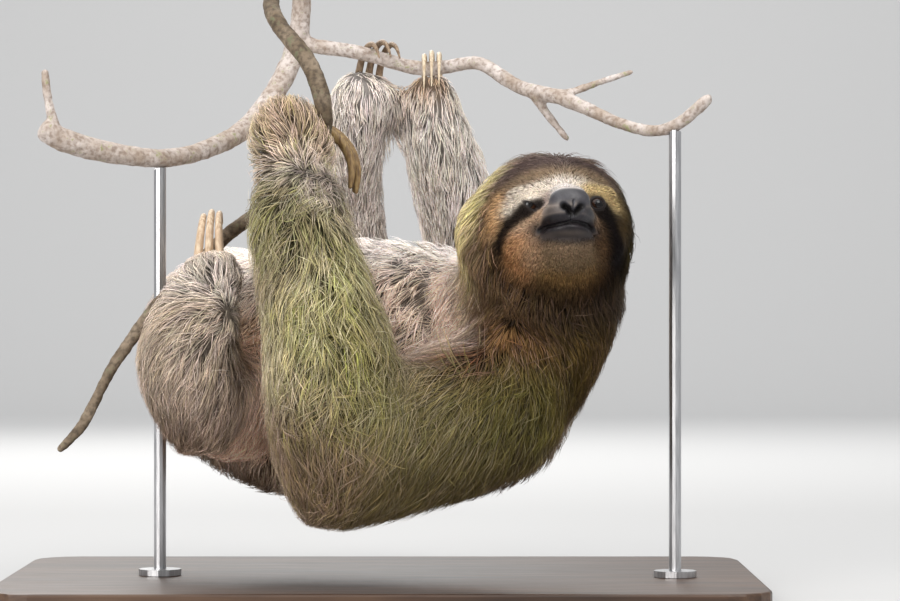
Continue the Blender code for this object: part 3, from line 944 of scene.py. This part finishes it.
hairDepth += (faceDepth - hairDepth) * onFace
aroundEye = np.ones(len(skinPoints))
for center in eyeCenters:
    aroundEye = np.minimum(aroundEye, ease(*hairLook["eyeReach"], lengthOf(skinLocal - center)))
hairLength *= 0.45 + 0.55 * aroundEye
hairDepth *= 0.35 + 0.65 * aroundEye
skinPiece[(onFace > 0.5)] = "face"
skinPiece[(onFace <= 0.5) & (skinPiece == "face")] = "head"
onBelly = nodeShare(("trunk",)) * ease(0.45, 0.85, skinNormals[:, 2])
hairLength *= 1 - hairLook["bellyShort"] * onBelly
gain, low, high = hairLook["whorlWild"]
wildness = (1 - hairLook["handCalm"] * nodeShare(("left_hand",))) * (1 + gain * nearWhorls(skinPoints, low, high))
gain, low, high = hairLook["whorlThick"]
thicker = 1 + gain * nearWhorls(skinPoints, low, high)
hanging = ease(0.15, 0.75, -skinNormals[:, 2]) * (1 - onFace)
setAttribute(skin.data, "under", 0.25 + 0.60 * onFace)
growing = np.where(openness > 0.05, 0.0, thicker * (1 - ease(0.05, headLook["bare"], bare)))
print("lie of the coat is combed")


# Coat: tufts of solid mesh, each a thin three-sided blade that lies along the body and tapers to its tip.

coatLook = {
    "seed": 11,
    "stiffness": 0.50,
    "down": 0.12,
    "stray": 0.17,
    "lockStray": 0.22,
    "lockEvery": 14,
    "clump": 0.50,
    "guards": 0.14,
    "guardRise": 0.30,
    "guardPale": 0.30,
    "motley": 0.10,
    "ridge": 0.45,
    "patch": 0.003,
    "shape": "long",
    "lengths": (0.70, 0.50),
    "depths": (0.52, 0.68, 0.6),
    "widths": (0.60, 0.80),
    "rootDepth": 0.0004,
    "guardClump": 0.3,
    "guardWidth": 0.7,
    "lockShade": 0.25,
}
# What algae do to a lock's colour, and how much paler the locks without them are.
algaeTone = np.array((0.00, 0.14, -0.42))
strawTone = np.array((0.32, 0.26, 0.24))
coatPieces = {
    "face": {"tufts": 27000, "width": 0.00040, "shape": "short", "stray": 0.12, "lockStray": 0.06, "clump": 0.25,
             "guards": 0, "motley": 0},
    "head": {"tufts": 15500, "width": 0.00056, "lockStray": 0.14, "motley": 0.30},
    "neck": {"tufts": 11500, "width": 0.00066},
    "trunk_near": {"tufts": 13500, "width": 0.00066, "stray": 0.18, "lockStray": 0.24,
                   "clump": 0.40},
    "trunk_far": {"tufts": 8500, "width": 0.00095},
    "left_upper_arm": {"tufts": 13500, "width": 0.00062, "stray": 0.22, "guards": 0.20,
                       "motley": 0.22},
    "left_forearm": {"tufts": 16000, "width": 0.00058, "stray": 0.26, "lockStray": 0.34,
                     "guards": 0.25, "motley": 0.50},
    "left_leg": {"tufts": 16000, "width": 0.00052, "stray": 0.18, "lockStray": 0.18,
                 "clump": 0.45},
    "right_arm": {"tufts": 10000, "width": 0.00062, "stray": 0.15, "lockStray": 0.15,
                  "clump": 0.35},
    "right_leg": {"tufts": 9500, "width": 0.00062, "stray": 0.15, "lockStray": 0.15,
                  "clump": 0.35},
}
# Where a tuft's rings stand on its length, their width, and its rise above the skin as shares of the coat's depth.
tuftShape = {
    "short": {"along": (0, 0.45, 1), "wide": (0, 1, 0), "rise": (0, 0.70, 1)},
    "long": {"along": (0, 0.33, 0.67, 1), "wide": (0, 1, 0.75, 0), "rise": (0, 0.55, 0.90, 1)},
}

skinTriangles = trianglesOf(skin.data)
skinTree = BVHTree.FromPolygons(skinPoints.tolist(), skinTriangles.tolist())
triangleCorners = skinPoints[skinTriangles]
triangleArea = lengthOf(np.cross(triangleCorners[:, 1] - triangleCorners[:, 0],
                                       triangleCorners[:, 2] - triangleCorners[:, 0])) / 2


# The nearest places of the skin, the corners of its triangles there, and the way out.
def skinUnder(points):
    found = [skinTree.find_nearest(point) for point in points.tolist()]
    near = skinTriangles[[hit[2] for hit in found]]
    return np.array([hit[0] for hit in found]), near, unit(skinNormals[near].mean(axis=1))


# An unwrap of the skin under one coat piece, so that each tuft has its own patch of the map.
def unwrapUnder(triangles):
    used, corners = np.unique(skinTriangles[triangles], return_inverse=True)
    corners = corners.reshape(-1, 3)
    mesh = bpy.data.meshes.new("unwrap")
    mesh.from_pydata(skinPoints[used].tolist(), [], corners.tolist())
    mesh.uv_layers.new(name="OFBake")
    cloth = newObject("unwrap", mesh)
    makeActive(cloth)
    editing(True)
    bpy.ops.mesh.select_all(action="SELECT")
    bpy.ops.uv.smart_project(angle_limit=radians(66), island_margin=0.01)
    editing(False)
    flat = readAll(mesh.uv_layers["OFBake"].data, "uv", 2)
    bpy.data.objects.remove(cloth)
    return flat.reshape(-1, 3, 2)


# Each tuft is pointed at both ends, with three-sided rings between.
def buildTufts(name, paths, ups, widths, places, attributes, shape):
    count = len(paths)
    rings = len(shape["along"]) - 2
    heading = unit(np.diff(paths, axis=1, append=paths[:, -1:] * 2 - paths[:, -2:-1]))
    across = unit(np.cross(heading, ups))
    lift = unit(np.cross(across, heading))
    corners = [paths[:, 0]]
    for ring in range(1, rings + 1):
        half = (widths * shape["wide"][ring] / 2)[:, None]
        center = paths[:, ring]
        corners += [center - across[:, ring] * half, center + across[:, ring] * half,
                    center + lift[:, ring] * half * 2 * coatLook["ridge"]]
    corners.append(paths[:, -1])
    points = np.stack(corners, axis=1)
    tip = rings * 3 + 1
    faces = []
    for side in range(3):
        following = (side + 1) % 3
        faces.append((0, side + 1, following + 1))
        for ring in range(rings - 1):
            low = ring * 3 + 1
            faces.append((low + following, low + side, low + side + 3, low + following + 3))
        faces.append((tip - 3 + following, tip - 3 + side, tip))
    loops = np.concatenate([np.array(face) for face in faces])
    sizes = np.array([len(face) for face in faces])
    mesh = bpy.data.meshes.new(name)
    mesh.vertices.add(count * (tip + 1))
    mesh.vertices.foreach_set("co", points.astype(np.float32).ravel())
    allLoops = (np.arange(count)[:, None] * (tip + 1) + loops).ravel()
    mesh.loops.add(len(allLoops))
    mesh.loops.foreach_set("vertex_index", allLoops)
    starts = np.concatenate([[0], np.cumsum(np.tile(sizes, count))[:-1]])
    mesh.polygons.add(len(starts))
    mesh.polygons.foreach_set("loop_start", starts)
    mesh.update(calc_edges=True)
    level = np.array([0] + [shape["along"][ring] for ring in range(1, rings + 1) for side in range(3)] + [1])
    turn = np.array([0.5] + [side for ring in range(rings) for side in (0, 1, 0.5)] + [0.5])
    inPatch = np.stack([turn, level], axis=1)[loops] * coatLook["patch"]
    layer = mesh.uv_layers.new(name="OFBake")
    layer.data.foreach_set("uv", (places[:, None, :] + inPatch[None]).astype(np.float32).ravel())
    setAttribute(mesh, "along", np.tile(level, count))
    for label, values in attributes.items():
        setAttribute(mesh, label, np.repeat(values, tip + 1, axis=0))
    mesh.shade_smooth()
    return newObject(name, mesh)


def growCoat(name, triangles, look, seed):
    look = {**coatLook, **look}
    rng = np.random.default_rng(seed)
    count = look["tufts"]
    shape = tuftShape[look["shape"]]
    corners = skinTriangles[triangles]
    chance = triangleArea[triangles] * growing[corners].min(axis=1)
    picked = rng.choice(len(triangles), count, p=chance / chance.sum())
    corners = corners[picked]
    parts = rng.random((count, 2))
    first = 1 - np.sqrt(parts[:, 0])
    second = np.sqrt(parts[:, 0]) * (1 - parts[:, 1])
    shares = np.stack([first, second, 1 - first - second], axis=1)

    def atRoots(values):
        return np.einsum("ij,ij...->i...", shares, values[corners])

    roots = atRoots(skinPoints)
    normal = unit(atRoots(skinNormals))
    lowest, spread = look["lengths"]
    length = atRoots(hairLength) * (lowest + spread * rng.random(count))
    guard = rng.random(count) < look["guards"]
    lowest, spread, bias = look["depths"]
    depth = atRoots(hairDepth) * (lowest + spread * rng.random(count) ** bias)
    depth = np.where(guard, atRoots(hairDepth) * (1 + look["guardRise"] * rng.random(count)), depth)
    swing = rng.normal(size=(count, 3))

    leaders = rng.permutation(count)[:max(count // look["lockEvery"], 1)]
    tree = kdtree.KDTree(len(leaders))
    for number, leader in enumerate(leaders):
        tree.insert(roots[leader], number)
    tree.balance()
    lock = leaders[[tree.find(root)[1] for root in roots.tolist()]]
    stray = swing * look["stray"] * (1 + guard[:, None]) + swing[lock] * look["lockStray"]
    stray *= atRoots(wildness)[:, None]

    heading = unit(atRoots(flow) + stray)
    place = roots - normal * look["rootDepth"]
    paths = [place]
    ups = [normal]
    shown = atRoots(tint)
    for ring in range(1, len(shape["along"])):
        reach = (length * (shape["along"][ring] - shape["along"][ring - 1]))[:, None]
        on, near, upward = skinUnder(place)
        comb = unit(flow[near].mean(axis=1) + stray)
        loose = hanging[near].mean(axis=1)[:, None]
        heading = unit(heading * look["stiffness"] + comb * (1 - look["stiffness"])
                       + np.array((0, 0, -1)) * look["down"] * (1 + 2 * loose))
        level = unit(heading - upward * dot(heading, upward))
        free = place + unit(level + (heading - level) * loose) * reach
        on, near, upward = skinUnder(free)
        height = (np.minimum(depth, hairDepth[near].mean(axis=1) * 1.3) * shape["rise"][ring])[:, None]
        laid = on + upward * height
        floating = np.minimum(dot(free - on, upward), height + 0.004)
        place = laid + (on + upward * floating - laid) * loose * (floating > height)
        paths.append(place)
        ups.append(upward)
        shown = shown * 0.4 + tint[near].mean(axis=1) * 0.6
    paths, ups = np.stack(paths, axis=1), np.stack(ups, axis=1)

    # The tufts of a lock draw together towards its tip.
    gather = (look["clump"] * np.array(shape["along"]) ** 0.8)[None, :, None]
    gather = gather * np.where(guard, look["guardClump"], 1)[:, None, None]
    beside = paths[lock] + (roots - roots[lock])[:, None, :] * (1 - gather)
    paths += (beside - paths) * gather

    uvs = unwrapUnder(triangles)
    uv = np.einsum("ij,ijk->ik", shares, uvs[picked])
    uv = np.clip(uv, 0, 1 - coatLook["patch"])
    shade = (1 - look["lockShade"]) * rng.random(count) + look["lockShade"] * rng.random(count)[lock]
    lowest, spread = look["widths"]
    widths = look["width"] * (lowest + spread * rng.random(count)) * np.where(guard, look["guardWidth"], 1)
    shown = shown * (1 + 0.025 * rng.normal(size=(count, 3)))
    green = look["motley"] * (0.6 * rng.normal(size=count)[lock] + 0.4 * rng.normal(size=count))
    shown = shown * np.exp(algaeTone * np.clip(green, 0, 1)[:, None] + strawTone * np.clip(-green, 0, 1)[:, None])
    bleached = np.maximum(shown, shown.mean(axis=1, keepdims=True)) * 1.5
    shown = np.where(guard[:, None], shown + (bleached - shown) * look["guardPale"], shown)
    return buildTufts("coat_" + name, paths, ups, widths, uv,
                      {"tint": np.clip(shown, 0.004, 1), "shade": shade}, shape)


# The trunk's coat is two pieces, parted along its middle.
trianglePiece = skinPiece[skinTriangles[:, 0]]
triangleMiddle = triangleCorners.mean(axis=1)
trunkMiddle = np.array(middleOf("trunk"))
fartherWay = np.array((0.45, 0.89, 0))
farther = triangleMiddle @ fartherWay > trunkMiddle @ fartherWay
onTrunk = trianglePiece == "trunk"
trianglePiece = np.where(onTrunk, np.where(farther, "trunk_far", "trunk_near"), trianglePiece)
coats = {}
for number, (name, look) in enumerate(coatPieces.items()):
    coats[name] = growCoat(name, np.flatnonzero(trianglePiece == name), look, coatLook["seed"] + number)
    print("coat_" + name, len(coats[name].data.polygons), "faces")


# Finishes of skin and coat.

# Along each tuft the colour runs from dark at the root to pale at the tip: partly the hair's own colour, partly
# painted shade between the strands near the skin.
bodyFur = {"root": 0.35, "middle": 0.95, "tip": 1.85, "dark": 0.40, "spread": 1.35, "roughness": 0.62}
# The same run, lighter at the root and flatter, for the near side of the trunk and the far limbs, which lie in shade:
# painted light.
shadeLiftedFur = {"root": 0.75, "middle": 1.15, "tip": 1.70, "dark": 0.66, "spread": 0.85, "roughness": 0.65}
faceFur = {"root": 0.70, "middle": 0.95, "tip": 1.25, "dark": 0.62, "spread": 0.76, "roughness": 0.70}


def furMaterial(name, look):
    board = Board(name)
    tint = board.attribute("tint", "Color")
    along = board.attribute("along")
    shade = board.attribute("shade")
    light = board.add("ShaderNodeMapRange", {}, {"Value": along, "From Max": 0.5,
                                                 "To Min": look["root"], "To Max": look["middle"]})
    light += board.add("ShaderNodeMapRange", {}, {"Value": along, "From Min": 0.5,
                                                  "To Max": look["tip"] - look["middle"]})
    colour = tint * (light * (look["dark"] + look["spread"] * shade))
    return board.finish(Base_Color=colour, Roughness=look["roughness"], Specular_IOR_Level=0.12)


def skinMaterial():
    board = Board("skin")
    tint = board.attribute("tint", "Color")
    bare = board.attribute("bare")
    hollow = board.attribute("hollow")
    grain = board.noise(0.0006, 3)
    blotch = board.noise(0.006, 3)
    leather = board.ramp(blotch, (0.3, (0.005, 0.004, 0.005)), (0.7, (0.016, 0.012, 0.014)))
    # A lighter, bluish leather on the top of the nose: painted highlight.
    noseTopHighlight = board.ramp(blotch, (0.3, (0.018, 0.018, 0.023)), (0.7, (0.036, 0.036, 0.046)))
    leather = board.mix(board.attribute("pad"), leather, noseTopHighlight)
    pores = board.add("ShaderNodeTexVoronoi", {}, {"Vector": board.place(), "Scale": 900})
    under = board.attribute("under")
    colour = board.mix(bare, tint * (under + 0.2 * grain), leather)
    lids = board.attribute("lids")
    colour = board.mix(lids, colour, (0.010, 0.006, 0.005))
    # Painted shade: the mouth's line and the nostrils near black.
    colour = board.mix(hollow, colour, (0.003, 0.002, 0.002))
    rough = 0.75 - 0.35 * bare * (1 - 0.8 * lids) + 0.25 * hollow
    normal = board.bump(pores * 0.6 + grain * 0.5, 0.45, 0.0004)
    return board.finish(Base_Color=colour, Roughness=rough, Coat_Weight=0.35 * board.attribute("pad"),
                        Coat_Roughness=0.35, Specular_IOR_Level=0.25, Normal=normal)


skin.data.materials.append(skinMaterial())
longFur = furMaterial("coat", bodyFur)
# A lighter copy of the coat for the parts that lie in shade: painted light.
shadeLiftedCoat = furMaterial("pale coat", shadeLiftedFur)
furOf = {"face": furMaterial("face coat", faceFur), "trunk_near": shadeLiftedCoat, "right_arm": shadeLiftedCoat, "right_leg": shadeLiftedCoat}
for name, piece in coats.items():
    piece.data.materials.append(furOf.get(name, longFur))


# Eyes: a polished ball with a low clear bulge over the iris.

eyeSlots = {"eye_left": 1, "eye_right": -1}


def eyeMaterial():
    board = Board("eye")
    gazeWay = board.attribute("gaze")
    veins = board.noise(0.0008, 4)
    iris = board.ramp(gazeWay + (veins - 0.5) * 0.04,
                      (0.0, (0.012, 0.006, 0.004)), (0.50, (0.012, 0.006, 0.004)), (0.60, (0.022, 0.010, 0.006)),
                      (0.86, (0.036, 0.016, 0.009)), (0.90, (0.003, 0.002, 0.002)))
    return board.finish(Base_Color=iris, Roughness=0.14, Specular_IOR_Level=0.35)


eyeFinish = eyeMaterial()
for name, sign in eyeSlots.items():
    deselectAll()
    center = middleOf(name)
    bpy.ops.mesh.primitive_uv_sphere_add(segments=48, ring_count=32, radius=eyeLook["radius"], location=center)
    eye = bpy.context.object
    eye.name = name.replace("eye", "eyeball")
    gaze = Vector(fromHead(unit(np.array((sign * eyeLook["gaze"][0], *eyeLook["gaze"][1:]))))) - headCenter
    eye.rotation_euler = gaze.to_track_quat("Z", "Y").to_euler()
    makeActive(eye)
    bpy.ops.object.transform_apply(location=True, rotation=True, scale=True)
    offsets = (pointsOf(eye.data) - np.array(center)) / eyeLook["radius"]
    facing = offsets @ np.array(gaze.normalized())
    bulge = 0.0003 * ease(0.80, 0.95, facing)
    setPoints(eye.data, pointsOf(eye.data) + offsets * bulge[:, None])
    bpy.ops.object.shade_smooth()
    setAttribute(eye.data, "gaze", facing)
    eye.data.materials.append(eyeFinish)
    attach(eye, "root")
    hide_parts(name)
print("eyes")


# Claws: the curved solids smoothed, with growth lines along the horn.

def hornMaterial(name, dark, pale, worn):
    board = Board(name)
    lines = board.noise(0.0016, 4, (1, 1, 0.25))
    fine = board.noise(0.0004, 3, (1, 1, 0.2))
    patches = board.noise(0.009, 2)
    colour = board.mix(board.ramp(lines, (0.35, 0.0), (0.65, 1.0)), dark, pale)
    colour = board.mix(board.ramp(patches, (0.45, 0.0), (0.7, 0.8)), colour, worn)
    rough = 0.42 + 0.22 * patches
    return board.finish(Base_Color=colour, Roughness=rough, Specular_IOR_Level=0.35,
                        Normal=board.bump(lines + fine * 0.6, 0.25, 0.0003))


hornOf = {
    "left_hand": hornMaterial("browned horn", (0.13, 0.070, 0.030), (0.36, 0.24, 0.10), (0.22, 0.14, 0.065)),
    "left_foot": hornMaterial("ivory horn", (0.42, 0.28, 0.17), (0.74, 0.60, 0.44), (0.60, 0.44, 0.30)),
    "right_hand": hornMaterial("pale horn", (0.44, 0.32, 0.20), (0.74, 0.64, 0.48), (0.58, 0.46, 0.32)),
    "right_foot": hornMaterial("tan horn", (0.14, 0.085, 0.050), (0.36, 0.26, 0.17), (0.24, 0.16, 0.10)),
}
hornGrowth = {"left_hand": 0.0010, "left_foot": 0.0006}
for owner, horn in hornOf.items():
    for number in (1, 2, 3):
        node = "{}_claw_{}".format(owner, number)
        claw = mergedCopy("{}_horn_{}".format(owner, number), [node], hornGrowth.get(owner, 0.0))
        makeActive(claw)
        applyModifier(claw, "SUBSURF", levels=2, render_levels=2)
        bpy.ops.object.shade_smooth()
        claw.data.materials.append(horn)
        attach(claw, "root")
        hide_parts(node)
print("claws")


# Perch: the branch and the twig with rounded, uneven bark.

barkLook = {"voxel": 0.0011, "knots": 0.0006, "ridges": 0.0003}


def barkMaterial(name, dark, middle, pale, moss, mossShare):
    board = Board(name)
    broad = board.noise(0.018, 4)
    streaks = board.noise(0.0030, 4, (1, 1, 1))
    fine = board.noise(0.0008, 3)
    spots = board.noise(0.0060, 3, roughness=0.7)
    colour = board.mix(board.ramp(broad, (0.38, 0.0), (0.62, 1.0)), middle, pale)
    colour = board.mix(board.ramp(streaks, (0.34, 0.70), (0.56, 0.0)), colour, dark)
    colour = board.mix(board.ramp(spots, (0.60 - mossShare, 0.0), (0.72 - mossShare, 1.0)), colour, moss)
    height = streaks + fine * 0.6
    rough = 0.78 + 0.15 * fine
    return board.finish(Base_Color=colour, Roughness=rough, Normal=board.bump(height, 0.6, 0.0008))


def barkPiece(name, node, material):
    piece = mergedCopy(name, [node])
    applyModifier(piece, "SUBSURF", levels=1, render_levels=1)
    applyModifier(piece, "REMESH", mode="VOXEL", voxel_size=barkLook["voxel"])
    edges = edgesOf(piece.data)
    setPoints(piece.data, smoothed(pointsOf(piece.data), edges, 4))
    for size, strength in ((0.010, barkLook["knots"]), (0.0035, barkLook["ridges"])):
        lumps = bpy.data.textures.new(name, "CLOUDS")
        lumps.noise_scale = size
        lumps.noise_depth = 2
        applyModifier(piece, "DISPLACE", texture=lumps, strength=strength * 2, mid_level=0.5,
                      texture_coords="GLOBAL")
    makeActive(piece)
    bpy.ops.object.shade_smooth()
    piece.data.materials.append(material)
    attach(piece, "root")
    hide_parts(node)
    return piece


branch = barkPiece("perch_bark", "perch_main",
                   barkMaterial("branch bark", (0.20, 0.14, 0.10), (0.40, 0.32, 0.26), (0.62, 0.55, 0.51),
                                (0.30, 0.29, 0.15), 0.01))
twig = barkPiece("perch_twig_bark", "perch_twig",
                 barkMaterial("twig bark", (0.040, 0.028, 0.018), (0.120, 0.084, 0.050), (0.260, 0.200, 0.140),
                              (0.140, 0.140, 0.080), 0.03))
print("perch:", len(branch.data.polygons) + len(twig.data.polygons), "faces")


# Stand: a stained board with a stepped edge, and two steel rods that end in small cups under the branch.

def woodMaterial():
    board = Board("stained wood")
    wide = board.noise(0.05, 3, (0.25, 2.2, 1))
    grain = board.noise(0.006, 5, (0.05, 1.6, 1))
    pores = board.noise(0.0016, 3, (0.05, 2.0, 1))
    colour = board.ramp(grain * 0.6 + wide * 0.4, (0.35, (0.022, 0.011, 0.006)), (0.50, (0.060, 0.030, 0.016)),
                        (0.66, (0.115, 0.062, 0.034)))
    rough = 0.30 + 0.25 * pores
    return board.finish(Base_Color=colour, Roughness=rough, Normal=board.bump(grain + pores, 0.15, 0.0004))


def steelMaterial():
    board = Board("brushed steel")
    brushed = board.noise(0.0009, 3, (1, 1, 0.06))
    colour = board.ramp(brushed, (0.3, (0.42, 0.42, 0.43)), (0.7, (0.62, 0.62, 0.63)))
    return board.finish(Base_Color=colour, Metallic=1.0, Roughness=0.24 + 0.18 * brushed,
                        Normal=board.bump(brushed, 0.08, 0.0002))


nodes["stand_base"].data.materials.clear()
nodes["stand_base"].data.materials.append(woodMaterial())
steel = steelMaterial()
for name in ("stand_rod_left", "stand_rod_right"):
    nodes[name].data.materials.clear()
    nodes[name].data.materials.append(steel)


# Everything of the animal belongs to the one body.

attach(skin, "root")
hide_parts(*flesh)
for name, piece in coats.items():
    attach(piece, "root")


# Room, light and camera.

# A sheet of pale paper lies on the floor and rises in a wide curve far behind.
roomLook = {"width": 9.0, "depth": 7.0, "curve": 1.5, "height": 4.0, "color": (0.52, 0.515, 0.51),
            "air": (0.84, 0.86, 0.88), "airLight": 0.62}
deselectAll()
bpy.ops.mesh.primitive_plane_add(size=1, location=(0, 0, -0.0005))
floor = bpy.context.object
floor.name = "floor"
floor.scale = (roomLook["width"], roomLook["depth"], 1)
bpy.ops.object.transform_apply(location=True, rotation=True, scale=True)
editing(True)
bpy.ops.mesh.select_mode(type="EDGE")
bpy.ops.mesh.select_all(action="DESELECT")
editing(False)
for edge in floor.data.edges:
    edge.select = all(floor.data.vertices[index].co.y > 1 for index in edge.vertices)
editing(True)
bpy.ops.mesh.spin(steps=16, angle=radians(90), axis=(-1, 0, 0),
                  center=(0, roomLook["depth"] / 2, roomLook["curve"] - 0.0005))
bpy.ops.mesh.extrude_region_move(TRANSFORM_OT_translate={"value": (0, 0, roomLook["height"])})
editing(False)
bpy.ops.object.shade_smooth()
paper = Board("pale paper")
floor.data.materials.append(paper.finish(Base_Color=roomLook["color"], Roughness=0.9))

lights = {
    "sky": {"place": (-0.3, -0.5, 2.2), "size": 2.6, "power": 34, "color": (0.96, 0.98, 1.0)},
    "front": {"place": (-1.7, -2.3, 1.0), "size": 1.5, "power": 52, "color": (1.0, 0.97, 0.94)},
    "fill": {"place": (1.0, -1.3, 1.9), "size": 1.2, "power": 26, "color": (1.0, 0.98, 0.96)},
    "paper": {"place": (0, 1.6, 2.8), "size": 2.0, "power": 80, "color": (0.98, 0.99, 1.0), "aim": (0, 5.0, 1.9)},
    "back": {"place": (-0.5, 2.0, 1.6), "size": 1.6, "power": 30, "color": (1.0, 0.99, 0.97)},
}
for name, look in lights.items():
    lamp = newObject(name, bpy.data.lights.new(name, "AREA"))
    lamp.location = look["place"]
    aim = Vector(look.get("aim", (0, 0, 0.20)))  # the middle of the animal, unless it says otherwise
    lamp.rotation_euler = (aim - lamp.location).to_track_quat("-Z", "Y").to_euler()
    lamp.data.size = look["size"]
    lamp.data.energy = look["power"]
    lamp.data.color = look["color"]

world = bpy.data.worlds.new("room")
bpy.context.scene.world = world
world.use_nodes = True
air = world.node_tree.nodes["Background"].inputs
air["Color"].default_value = (*roomLook["air"], 1)
air["Strength"].default_value = roomLook["airLight"]

cameraLook = {"place": (0.0325, -2.2, 0.1922), "lens": 135.385, "sensor": 36}
camera = newObject("camera", bpy.data.cameras.new("camera"))
camera.location = cameraLook["place"]
camera.rotation_euler = (radians(90), 0, 0)
camera.data.lens = cameraLook["lens"]
camera.data.sensor_width = cameraLook["sensor"]
bpy.context.scene.camera = camera
bpy.context.scene.view_settings.view_transform = "Standard"

print("done")
